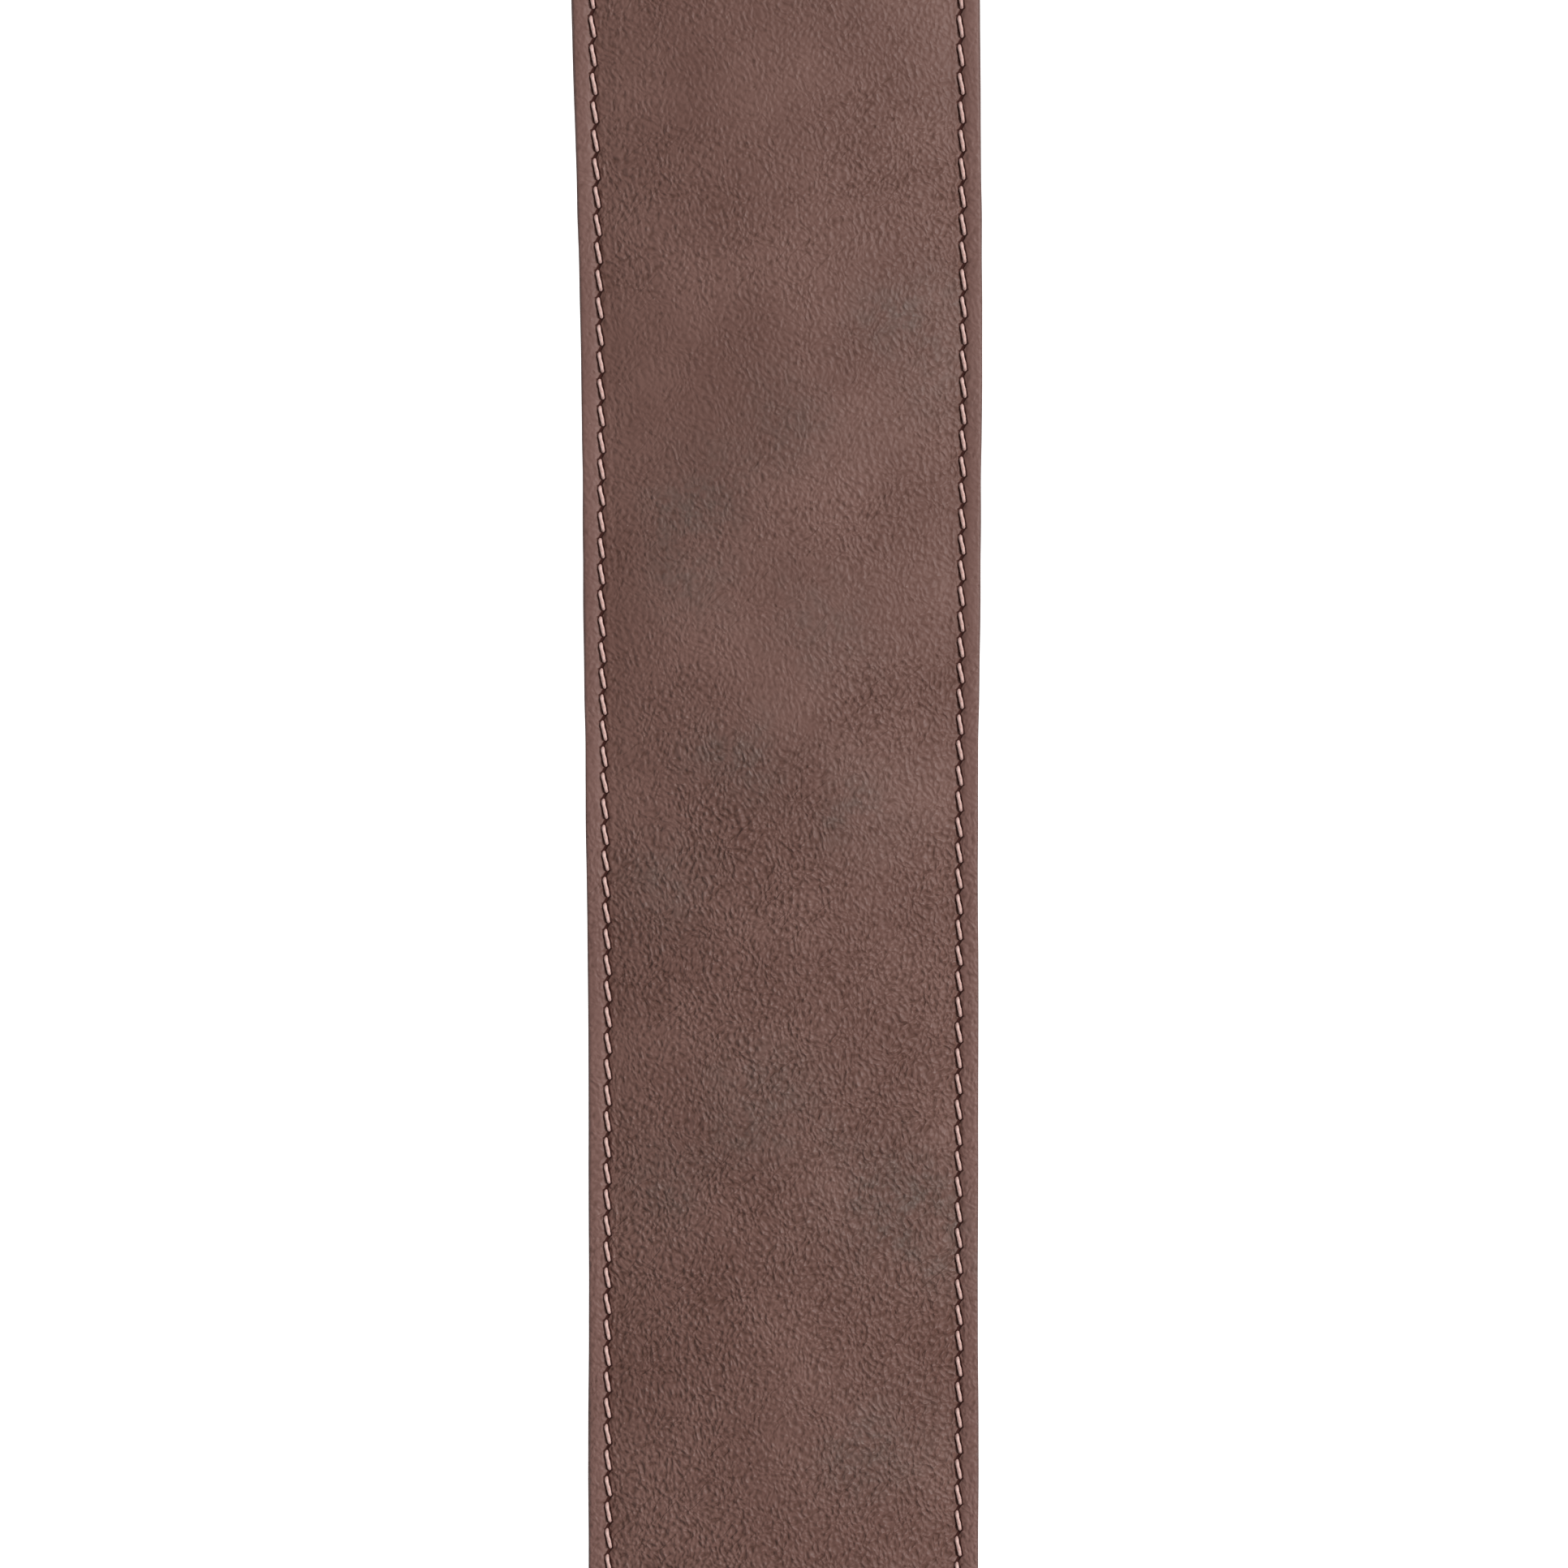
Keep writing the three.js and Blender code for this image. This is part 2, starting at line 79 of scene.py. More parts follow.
PANEL_LOW, PANEL_HIGH = box_mm("front_leather")
PANEL_REAR, PANEL_FRONT = PANEL_LOW[1], PANEL_HIGH[1]
CORE_LOW, PAD_TOP = PANEL_LOW[2], PANEL_HIGH[2]
BACKING_TOP = box_mm("backing")[1][2]
CORE_HIGH = box_mm("front_tab_root")[1][2]
TAB_TIP = box_mm("front_tab")[1][1]
KEEPER_BAR, RING_Z = bar_mm("ring_pivot")
LOOP_BAR, _ = bar_mm("webbing_pivot")
SLIDER_LOW, SLIDER_HIGH = box_mm("slider")
_, SLIDER_Y, MIDDLE_Z = (SLIDER_LOW + SLIDER_HIGH) / 2
REAR_TIP, REAR_TAB = (corner[1] for corner in box_mm("rear_tab_back"))
REAR_STEP = box_mm("webbing_tab_end")[0][1]
TAB_LAYER = box_mm("rear_tab_back")[1][2]
TAIL_END = box_mm("webbing_tail")[0][1]
STUB_END = box_mm("webbing_tail_stub")[0][1]
RIVETS = {side: sum(box_mm(f"rivet_{side}_cap"))[:2] / 2 for side in ("left", "right")}

# ---- driving sizes, in millimetres

REAR_HALF = 31.2  # half widths of the panel: rear and shoulder
SHOULDER_HALF = PANEL_HIGH[0]
PANEL_SIZE = (2 * SHOULDER_HALF, PANEL_FRONT - PANEL_REAR)
FRONT_HALF = 28.0
SHOULDER = (60.0, 290.0)  # the panel widens between these two places
TAPER_LENGTH = 75.0
REAR_CORNER = 8.0
FRONT_CORNER = 20.0
FACE_LEATHER = 1.2
BORDER_TOP = CORE_LOW + FACE_LEATHER
SEAM_INSET = 3.1
SEAM_DRIFT = 0.16  # how far the machine wandered from the seam's line
STITCH_PITCH = {-1: 4.17, 1: 4.11}  # left and right rows, along most of the panel
SHOULDER_PITCH = 4.63  # and past the shoulder, up to the front edge
PITCH_CHANGE = (150.0, 262.0)
PAD_START = 4.0  # inset where the padding starts to lift the leather
PAD_RUN = 28.5
PAD_FULLNESS = (2.0, 6.0)  # of its dome, along the panel and over the parts sewn in at its ends
TAB_HALF = 17.0  # and the radius of a tab's round tip, with the button hole at its centre
BUTTON_HOLE = 4.75  # radius
SLIT = (0.45, 12.0)  # half width, length from the hole's centre
ROOT_LENGTH = 38.0
FLEX_GAP = 4.0
KEEPER_HALF = 22.0
RIVET_CAP = 4.6
WEBBING_HALF = 25.0
WEBBING_THICK = 1.3
RIB_PITCH = 2.05  # of the webbing's lengthwise ribs
EDGE_ROUND = 0.55  # of a cut leather edge
STITCH_SHARE = 0.75  # of the pitch, where the thread shows
LEAN = 0.3  # how far each end of a stitch lies to one side of its row

GRAIN_PER_MM = 1.42  # ridges of the face's grain
GRAIN_LENGTH = 0.84  # lower is longer
GRAIN_DEPTH = 0.33
FACE_DARK, FACE_LIGHT, FACE_CLOUD, FACE_MARGIN = 0x6C4A41, 0x78564D, 0x63554E, 0x805E57

# ---- small maths


def smoothstep(value, low, high):
    t = np.clip((value - low) / (high - low), 0.0, 1.0)
    return t * t * (3 - 2 * t)


def bell(value, width):
    return np.exp(-((value / width) ** 2))


def wobble(along, period, seed):
    """Smooth noise along a line, from -1 to 1, the same each run."""
    knots = np.random.default_rng(seed).uniform(-1, 1, 4096)
    at = np.asarray(along, float) / period + 2048
    low = np.floor(at).astype(int)
    t = smoothstep(at - low, 0, 1)
    return knots[low % 4096] * (1 - t) + knots[(low + 1) % 4096] * t


def lumps(x, y, period, seed):
    """Smooth noise over a surface, from -1 to 1, the same each run."""
    size = 512
    knots = np.random.default_rng(seed).uniform(-1, 1, (size, size))
    ax, ay = x / period + size / 2, y / period + size / 2
    lx, ly = np.floor(ax).astype(int), np.floor(ay).astype(int)
    tx, ty = smoothstep(ax - lx, 0, 1), smoothstep(ay - ly, 0, 1)

    def knot(dx, dy):
        return knots[(lx + dx) % size, (ly + dy) % size]

    near = knot(0, 0) * (1 - tx) + knot(1, 0) * tx
    far = knot(0, 1) * (1 - tx) + knot(1, 1) * tx
    return near * (1 - ty) + far * ty


def rounded_edge(inset, radius):
    """How far a face drops at a distance inside its cut edge."""
    out = radius - np.clip(inset, 0, radius)
    return radius - np.sqrt(np.maximum(radius**2 - out**2, 0))


def spline(points, steps):
    """A smooth line through given points, with steps between each two."""
    p = np.array(points, float)
    p = np.vstack([2 * p[0] - p[1], p, 2 * p[-1] - p[-2]])
    t = np.linspace(0, 1, steps, endpoint=False)[:, None]
    line = []
    for a, b, c, d in zip(p[:-3], p[1:-2], p[2:-1], p[3:]):
        line.append(0.5 * (2 * b + (c - a) * t + (2 * a - 5 * b + 4 * c - d) * t**2
                           + (3 * b - a - 3 * c + d) * t**3))
    return np.vstack(line + [p[-2:-1]])


def arc(centre_y, centre_z, radius, start, end, steps):
    angles = np.radians(np.linspace(start, end, steps + 1))
    return np.stack([centre_y + radius * np.cos(angles), centre_z + radius * np.sin(angles)], axis=1)


def steps_of(line):
    """The distance from each point of a line to the next."""
    return np.linalg.norm(np.diff(line, axis=0), axis=1)


def running(steps):
    """Running totals, starting from 0."""
    return np.concatenate([[0], np.cumsum(steps)])


def respaced(route, step):
    """The same route, with rows an even step apart."""
    along = running(steps_of(route))
    at = np.linspace(0, along[-1], max(2, math.ceil(along[-1] / step) + 1))
    return np.stack([np.interp(at, along, route[:, k]) for k in range(2)], axis=1)


# ---- meshes


def added(name, data):
    """A new object in the scene."""
    made = bpy.data.objects.new(name, data)
    bpy.context.scene.collection.objects.link(made)
    return made


def smoothed(mesh, sharp_above=48):
    """Shades a mesh smooth, apart from edges that turn by more than some degrees."""
    mesh.shade_smooth()
    mesh.set_sharp_from_angle(angle=math.radians(sharp_above))


def new_mesh(name, points, faces, uvs=None):
    """A smooth-shaded mesh object from points in millimetres. uvs has one pair per face corner."""
    mesh = bpy.data.meshes.new(name)
    mesh.from_pydata((np.asarray(points) * MM).tolist(), [], faces)
    if uvs is not None:
        layer = mesh.uv_layers.new(name="cut")
        layer.data.foreach_set("uv", (np.asarray(uvs) * MM).astype(np.float32).ravel())
    smoothed(mesh)
    return added(name, mesh)


def quads_round(index):
    """Four-sided faces over rows of point numbers that close on themselves."""
    after = np.roll(index, -1, axis=1)
    return np.stack([index[:-1], after[:-1], after[1:], index[1:]], axis=-1).reshape(-1, 4)


def corners_round(grid):
    """The UVs of those faces' corners. grid has one column more: the UVs on both sides of the cut."""
    return np.stack([grid[:-1, :-1], grid[:-1, 1:], grid[1:, 1:], grid[1:, :-1]], axis=2).reshape(-1, 4, 2)


def zipped(upper, lower, upper_at, lower_at):
    """Triangles between two rims with any number of points, matched by how far across they are."""
    upper_at, lower_at = [*upper_at, math.inf], [*lower_at, math.inf]
    i = j = 0
    faces = []
    for _ in range(len(upper) + len(lower) - 2):
        if upper_at[i + 1] <= lower_at[j + 1]:
            faces.append((upper[i], lower[j], upper[i + 1]))
            i += 1
        else:
            faces.append((upper[i], lower[j], lower[j + 1]))
            j += 1
    return faces


def closed_sheet(name, top, low, start_v=0.0):
    """A closed sheet from two grids of points, rows x columns x 3, both with columns left to right.
    Its UV map is the sheet laid flat, measured along its own surface, in metres."""
    half = low.shape[1] // 2
    left, right = low[:, half::-1], low[:, :half:-1]
    loop = np.concatenate([left, top, right], axis=1)
    rows, count = loop.shape[:2]
    index = np.arange(rows * count).reshape(rows, count)

    across = np.linalg.norm(np.diff(np.concatenate([loop, loop[:, :1]], axis=1), axis=1), axis=2)
    u = np.concatenate([np.zeros((rows, 1)), np.cumsum(across, axis=1)], axis=1)
    middle = half + 1 + top.shape[1] // 2
    u -= u[:, middle : middle + 1]
    v = running(steps_of(loop[:, middle]))[:, None] + start_v + np.zeros_like(u)
    grid = np.stack([u, v], axis=-1)

    caps = []
    first_top = half + 1
    for row, flipped in ((0, False), (rows - 1, True)):
        upper = index[row, first_top : first_top + top.shape[1]]
        lower = np.concatenate([index[row, : half + 1][::-1], index[row, first_top + top.shape[1] :][::-1]])
        width_at = [loop.reshape(-1, 3)[list(rim), 0] for rim in (upper, lower)]
        for face in zipped(list(upper), list(lower), *width_at):
            caps.append(face[::-1] if flipped else face)
    flat_uv = grid[:, :-1].reshape(-1, 2)
    cap_uv = [flat_uv[corner] for face in caps for corner in face]
    uvs = np.vstack([corners_round(grid).reshape(-1, 2), np.array(cap_uv)])
    faces = quads_round(index).tolist() + [[int(c) for c in face] for face in caps]
    return new_mesh(name, loop.reshape(-1, 3), faces, uvs)


def flat_sheet(name, ys, half, top_columns, low_columns, top, low, middle=None):
    """A closed sheet that lies flat: half(y) is its outline, top(x, y) and low(x, y) its two faces.
    Columns are shares of the half width, -1 to 1. middle(y) moves its middle line sideways."""
    ys = np.asarray(ys, float)
    shift = np.zeros_like(ys) if middle is None else middle(ys)
    grids = []
    for columns, height in ((top_columns, top), (low_columns, low)):
        x = half(ys)[:, None] * np.asarray(columns)[None, :]
        y = np.broadcast_to(ys[:, None], x.shape)
        grids.append(np.stack([x + shift[:, None], y, height(x, y)], axis=-1))
    return closed_sheet(name, *grids, start_v=ys[0])


def ribbon(name, route, half, face, columns):
    """A closed strip along a side-view route. face(x) is half its thickness at a place across it."""
    route = np.asarray(route, float)
    heading = np.gradient(route, axis=0)
    heading /= np.linalg.norm(heading, axis=1)[:, None]
    normal = np.stack([-heading[:, 1], heading[:, 0]], axis=1)
    x = half * np.asarray(columns)
    grids = []
    for sign in (1, -1):
        off = sign * face(x)
        y = route[:, :1] + normal[:, :1] * off[None, :]
        z = route[:, 1:] + normal[:, 1:] * off[None, :]
        grids.append(np.stack([np.broadcast_to(x, y.shape), y, z], axis=-1))
    return closed_sheet(name, *grids, start_v=route[0, 0])


def tube(name, lines, radius, sides, closed=False, plies=0, turns=0.0):
    """Round tubes joined in one mesh. Each line is points x 3; plies gives a laid rope's lobes."""
    points, faces, uvs, base = [], [], [], 0
    angles = np.linspace(0, 2 * math.pi, sides, endpoint=False)
    for line in lines:
        line = np.asarray(line, float)
        heading = np.roll(line, -1, 0) - np.roll(line, 1, 0) if closed else np.gradient(line, axis=0)
        heading /= np.linalg.norm(heading, axis=1)[:, None]
        side = np.cross(heading, [0, 0, 1.0])
        side /= np.linalg.norm(side, axis=1)[:, None]
        up = np.cross(side, heading)
        count = len(line)
        twist = turns * 2 * math.pi * np.linspace(0, 1, count)
        size = np.broadcast_to(np.asarray(radius, float), (count,))
        lobes = 1 + (0.09 * np.cos(plies * angles[None, :] - twist[:, None]) if plies else 0)
        ring = side[:, None] * np.cos(angles)[None, :, None] + up[:, None] * np.sin(angles)[None, :, None]
        ring = line[:, None] + ring * (size[:, None] * lobes)[..., None]
        points.append(ring.reshape(-1, 3))

        index = base + np.arange(count * sides).reshape(count, sides)
        base += count * sides
        steps = np.linalg.norm(np.diff(line, axis=0, append=line[:1]), axis=1)
        v = running(steps)
        u = np.linspace(0, 2 * math.pi * float(size.max()), sides + 1)
        rows = np.vstack([index, index[:1]]) if closed else index
        corners = corners_round(np.stack(np.meshgrid(u, v[: len(rows)]), axis=-1))
        faces += np.roll(quads_round(rows)[:, ::-1], 1, axis=1).tolist()
        uvs += np.roll(corners[:, ::-1], 1, axis=1).reshape(-1, 2).tolist()
        if not closed:
            faces += [index[0].tolist(), index[-1, ::-1].tolist()]
            uvs += [(0, v[0])] * sides + [(0, v[count - 1])] * sides
    return new_mesh(name, np.vstack(points), faces, uvs)


def turned(name, profile, centre, sides=64):
    """A turned piece: profile is (radius, z) points from the axis out and back to it."""
    turns = np.linspace(0, 2 * math.pi, sides, endpoint=False)
    points, index = [], []
    for radius, z in profile:
        ring = turns if radius else turns[:1]
        index.append(len(points) + np.arange(sides) % len(ring))
        points += [(centre[0] + radius * math.cos(a), centre[1] + radius * math.sin(a), z) for a in ring]
    faces = [list(dict.fromkeys(quad)) for quad in quads_round(np.array(index)).tolist()]
    return new_mesh(name, points, faces)


def paint(made, name, *values):
    """Stores up to three numbers on each vertex, for the materials. Each value is f(x, y) in mm."""
    count = len(made.data.vertices)
    flat = np.zeros(count * 3)
    made.data.vertices.foreach_get("co", flat)
    x, y, _ = flat.reshape(-1, 3).T / MM
    stored = np.zeros((count, 3))
    for k, value in enumerate(values):
        stored[:, k] = value(x, y)
    layer = made.data.attributes.new(name, "FLOAT_VECTOR", "POINT")
    layer.data.foreach_set("vector", stored.astype(np.float32).ravel())
    return made


def cut_away(made, cutter):
    """Cuts one mesh out of another, and keeps the result as plain mesh."""
    modifier = made.modifiers.new("cut_away", "BOOLEAN")
    modifier.object = cutter
    modifier.operation = "DIFFERENCE"
    modifier.solver = "EXACT"
    evaluated = made.evaluated_get(bpy.context.evaluated_depsgraph_get())
    mesh = bpy.data.meshes.new_from_object(evaluated)
    made.modifiers.clear()
    made.data = mesh
    smoothed(mesh)
    bpy.data.objects.remove(cutter)
    return made


def keep(made, body, slot, *nodes):
    """The piece takes a slot's looks and stands for CAD nodes, which it hides. It rides on a body when one is
    named; given two bodies and a stretch, it is only fixed in place.
    """
    made.data.materials.append(LOOKS[slot])
    if isinstance(body, str):
        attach(made, body)
    else:
        first, second, start, end = body
        start * MM
        end * MM
        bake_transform(made)
    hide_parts(*nodes)


def declare_sheet(made, width, length, held, *rests_on):
    """Works out a piece's flat size, given in millimetres, in metres, and does nothing more with it."""
    width * MM
    length * MM


# ---- material nodes


class Value:
    """A number that a node gives. Arithmetic on it adds the nodes for it."""

    def __init__(self, shader, socket):
        self.shader, self.socket = shader, socket

    def __add__(self, other):
        return self.shader.math("ADD", self, other)

    def __sub__(self, other):
        return self.shader.math("SUBTRACT", self, other)

    def __rsub__(self, other):
        return self.shader.math("SUBTRACT", other, self)

    def __mul__(self, other):
        return self.shader.math("MULTIPLY", self, other)

    def __truediv__(self, other):
        return self.shader.math("DIVIDE", self, other)

    def __pow__(self, other):
        return self.shader.math("POWER", self, other)

    def __abs__(self):
        return self.shader.math("ABSOLUTE", self)


class Shader:
    """A Principled material with short calls for the nodes that these surfaces need."""

    def __init__(self, name, **settings):
        self.material = bpy.data.materials.new(name)
        self.material.use_nodes = True
        self.tree = self.material.node_tree
        self.surface = self.tree.nodes["Principled BSDF"]
        for socket, value in settings.items():
            self.surface.inputs[socket.replace("_", " ")].default_value = value

    def node(self, kind, settings=None, **inputs):
        made = self.tree.nodes.new(kind)
        for key, value in (settings or {}).items():
            setattr(made, key, value)
        for key, value in inputs.items():
            self.put(made.inputs[key.replace("_", " ")], value)
        return made

    def put(self, socket, value):
        """Links a socket to another node's output, or gives it a fixed value."""
        if isinstance(value, Value):
            value = value.socket
        if isinstance(value, bpy.types.NodeSocket):
            self.tree.links.new(value, socket)
        else:
            socket.default_value = value

    def math(self, operation, *values, kind="ShaderNodeMath"):
        made = self.node(kind, {"operation": operation})
        for socket, value in zip(made.inputs, values):
            self.put(socket, value)
        return Value(self, made.outputs[0])

    def vector_math(self, operation, *values):
        return self.math(operation, *values, kind="ShaderNodeVectorMath")

    def parts(self, vector):
        """The three numbers of a vector."""
        return [Value(self, part) for part in self.node("ShaderNodeSeparateXYZ", Vector=vector).outputs]

    def flat_mm(self):
        """The sheet's own UV map, in millimetres."""
        flat = self.node("ShaderNodeUVMap", {"uv_map": "cut"}).outputs[0]
        return self.vector_math("MULTIPLY", flat, (1 / MM, 1 / MM, 1 / MM))

    def solid_mm(self):
        """The piece's own space, in millimetres."""
        own = self.node("ShaderNodeTexCoord").outputs["Object"]
        return self.vector_math("MULTIPLY", own, (1 / MM, 1 / MM, 1 / MM))

    def stored(self, name):
        """The three numbers painted on the vertices."""
        vector = self.node("ShaderNodeAttribute", {"attribute_name": name}).outputs["Vector"]
        return self.parts(vector)

    def placed(self, vector, turn=0.0, size=(1, 1, 1), move=(0, 0, 0)):
        """The pattern's space, turned anticlockwise by some degrees, then drawn out along its own axes."""
        turned_space = self.node("ShaderNodeMapping", Vector=vector, Rotation=(0, 0, -math.radians(turn)))
        drawn_out = self.vector_math("MULTIPLY", turned_space.outputs[0], size)
        return self.vector_math("ADD", drawn_out, move)

    def noise(self, vector, per_mm, detail=2.0, roughness=0.5):
        made = self.node("ShaderNodeTexNoise", Vector=vector, Scale=per_mm, Detail=detail,
                         Roughness=roughness)
        return Value(self, made.outputs[0])

    def cells(self, vector, per_mm, feature="F1"):
        made = self.node("ShaderNodeTexVoronoi", {"feature": feature}, Vector=vector, Scale=per_mm)
        return Value(self, made.outputs["Distance"])

    def ramp(self, value, low, high, to_low=0.0, to_high=1.0, smooth=True):
        made = self.node("ShaderNodeMapRange", {"interpolation_type": "SMOOTHSTEP" if smooth else "LINEAR"})
        for key, number in (("Value", value), ("From Min", low), ("From Max", high),
                            ("To Min", to_low), ("To Max", to_high)):
            self.put(made.inputs[key], number)
        return Value(self, made.outputs[0])

    def blend(self, share, first, second):
        made = self.node("ShaderNodeMix", {"data_type": "RGBA"})
        self.put(made.inputs[0], share)
        for socket, value in ((made.inputs[6], first), (made.inputs[7], second)):
            self.put(socket, colour(value) if isinstance(value, int) else value)
        return made.outputs[2]

    def finish(self, base, roughness, height, depth_mm):
        """Joins colour, roughness and a bump whose full height is depth_mm."""
        self.put(self.surface.inputs["Base Color"], base)
        self.put(self.surface.inputs["Roughness"], roughness)
        bump = self.node("ShaderNodeBump", Height=height, Distance=depth_mm * MM, Strength=1.0)
        self.put(self.surface.inputs["Normal"], bump.outputs[0])
        return self.material


def colour(hex_code):
    """A linear RGBA colour from an sRGB hex number."""
    parts = [((hex_code >> shift) & 255) / 255 for shift in (16, 8, 0)]
    return [p / 12.92 if p < 0.04045 else ((p + 0.055) / 1.055) ** 2.4 for p in parts] + [1]


def leather_grain(s, flat, coarse, inset):
    """Heights of the face: short leaning ridges, pores and long folds, all calmer outside the seams."""
    drift = s.node("ShaderNodeTexNoise", Vector=flat, Scale=0.16, Detail=2.0).outputs[1]
    warped = s.vector_math("ADD", flat, s.vector_math("MULTIPLY", drift, (2.5, 2.5, 0)))
    lean = s.ramp(s.noise(flat, 0.11, 1.0), 0.43, 0.53)
    ridges = []
    for turn, move in ((15, 11), (-24, 37)):
        lay = s.placed(warped, turn, (1.0, GRAIN_LENGTH, 1), (move, move, 0))
        ridges.append(s.noise(lay, GRAIN_PER_MM, 0.0))
    ridge = ridges[0] * lean + ridges[1] * (1.0 - lean)
    fine = s.noise(s.placed(warped, 20, (1.0, 0.8, 1)), 2.6, 0.0)
    pores = s.cells(s.placed(warped, 15, (1.0, 0.8, 1)), 0.62)
    pits = s.ramp(pores, 0.08, 0.24, 1.0, 0.0) * s.ramp(s.noise(flat, 0.35), 0.42, 0.62)
    off_fold = abs(s.noise(s.placed(warped, -47, (1, 0.2, 1)), 0.42, 1.0) - 0.5)
    folds = s.ramp(off_fold, 0.0, 0.045, 1.0, 0.0) * s.ramp(s.noise(flat, 0.06, 1.0), 0.45, 0.58)

    relief = s.ramp(inset, 2.2, 4.6, 0.5, 1.0) * s.ramp(coarse, 0.0, 1.0, 0.46, 1.1)
    grain = (ridge * 0.8 + fine * 0.2 - 0.5) * (relief * 2.2) + 0.55
    return grain - pits * 0.2 - folds * (relief * 0.22)


def shaded_needle_slits(s, beside, phase):
    """Where the needle slits and stitch grooves are painted dark as shade: along each leaning stitch, and in
    the link to the next one.
    """
    from_middle = s.math("FRACT", phase) - 0.5
    off_middle = abs(from_middle)
    half = STITCH_SHARE / 2
    leaning = s.math("MINIMUM", off_middle / half, (0.5 - off_middle) / (0.5 - half))
    thread_at = s.math("SIGN", from_middle) * (leaning * -LEAN)
    narrowed = abs(beside - thread_at) * s.ramp(off_middle, 0.36, 0.44, 1.0, 1.7)
    return s.ramp(narrowed, 0.3, 0.62, 1.0, 0.0)


def face_leather():
    """Grained brown leather with grey clouds, painted shade in the grain's low places and in a dark slit
    under each stitch, and small painted glints.
    """
    s = Shader("face_leather", Specular_IOR_Level=0.42)
    flat = s.flat_mm()
    cloud, coarse, sewn = s.stored("look")
    beside, phase, inset = s.stored("seam")
    grain = leather_grain(s, flat, coarse, inset)
    shaded_slits = shaded_needle_slits(s, beside, phase) * sewn

    tone = s.noise(flat, 0.045, 3.0, 0.55)
    base = s.blend(s.ramp(tone, 0.32, 0.7), FACE_DARK, FACE_LIGHT)
    mottle = s.ramp(s.noise(flat, 0.5, 3.0, 0.6), 0.35, 0.65, 0.25, 0.75)
    base = s.blend(cloud * mottle, base, FACE_CLOUD)
    base = s.blend(s.ramp(inset, 3.4, 2.4, 0.0, 0.5), base, FACE_MARGIN)
    # Painted shade: the colour darkens in the grain's low places, its pits, valleys and folds.
    base = s.blend(s.ramp(grain, 0.55, 0.1, 0.0, 0.5), base, 0x4C2B1D)
    # Painted highlights: tiny light specks standing in for glints on the grain.
    base = s.blend(s.ramp(s.cells(flat, 0.36), 0.055, 0.02, 0.0, 0.45), base, 0xA98E86)
    base = s.blend(s.ramp(inset, 0.42, 0.1, 0.0, 0.7), base, 0x4A2E28)
    # Painted shade: the needle slits and the grooves beside each stitch, in a near-black brown.
    base = s.blend(shaded_slits, base, 0x38130B)

    height = grain - shaded_slits * 0.5
    rough = s.math("MAXIMUM", s.ramp(grain, 0.1, 0.9, 0.72, 0.5, smooth=False), shaded_slits * 0.95)
    return s.finish(base, rough, height, GRAIN_DEPTH)


def suede():
    s = Shader("suede", Specular_IOR_Level=0.2, Sheen_Weight=0.35, Sheen_Roughness=0.6)
    flat = s.flat_mm()
    nap = s.noise(s.placed(flat, 12, (1.0, 0.45, 1)), 2.6, 4.0, 0.7)
    brushed = s.noise(s.placed(flat, -8, (1.0, 0.35, 1)), 0.09, 2.0, 0.55)
    base = s.blend(s.ramp(brushed, 0.3, 0.7), 0x5A4034, 0x62463A)
    base = s.blend(s.ramp(nap, 0.6, 0.3), base, 0x3B2820)
    return s.finish(base, s.ramp(nap, 0.2, 0.8, 0.98, 0.88), nap, 0.1)


def foam():
    s = Shader("foam", Specular_IOR_Level=0.2)
    cells = s.cells(s.solid_mm(), 2.2, "DISTANCE_TO_EDGE")
    base = s.blend(s.ramp(cells, 0.0, 0.2), 0x9A9993, 0x74736D)
    return s.finish(base, s.ramp(cells, 0.0, 0.3, 0.8, 0.95), cells, 0.3)


def thread(name, light, dark):
    """Waxed twisted thread: fine slanting fibres."""
    s = Shader(name, Specular_IOR_Level=0.35, Sheen_Weight=0.15)
    flat = s.flat_mm()
    fibres = s.noise(s.placed(flat, 35, (1.0, 0.25, 1)), 7.0, 2.0, 0.6)
    tone = s.noise(flat, 0.5, 1.0)
    base = s.blend(s.ramp(fibres, 0.3, 0.7), dark, light)
    base = s.blend(s.ramp(tone, 0.7, 0.35, 0.0, 0.25), base, dark)
    return s.finish(base, s.ramp(fibres, 0.2, 0.8, 0.72, 0.55), fibres, 0.05)


def thick_leather(name, light, dark, rough):
    """Smooth thick leather: pores, faint creases, and edges burnished dark and glossy."""
    s = Shader(name, Specular_IOR_Level=0.45, Coat_Weight=0.08, Coat_Roughness=0.35)
    flat = s.flat_mm()
    inset, _, _ = s.stored("edge")
    pores = s.ramp(s.cells(flat, 1.7), 0.05, 0.3)
    grain = s.noise(flat, 0.9, 4.0, 0.6)
    off_crease = abs(s.noise(s.placed(flat, 70, (1, 0.3, 1)), 0.22, 3.0) - 0.5)
    tone = s.noise(flat, 0.06, 3.0)
    base = s.blend(s.ramp(tone, 0.35, 0.65), dark, light)
    base = s.blend(s.ramp(pores, 0.5, 0.0, 0.0, 0.55), base, 0x24140F)
    base = s.blend(s.ramp(inset + grain * 0.5, 1.1, 0.35), base, 0x1F120E)
    height = pores * 0.35 + grain * 0.5 + s.ramp(off_crease, 0.0, 0.05, 0.0, 0.3)
    burnished = s.ramp(inset, 0.2, 1.2, rough - 0.16, rough)
    return s.finish(base, burnished + grain * 0.12, height, 0.09)


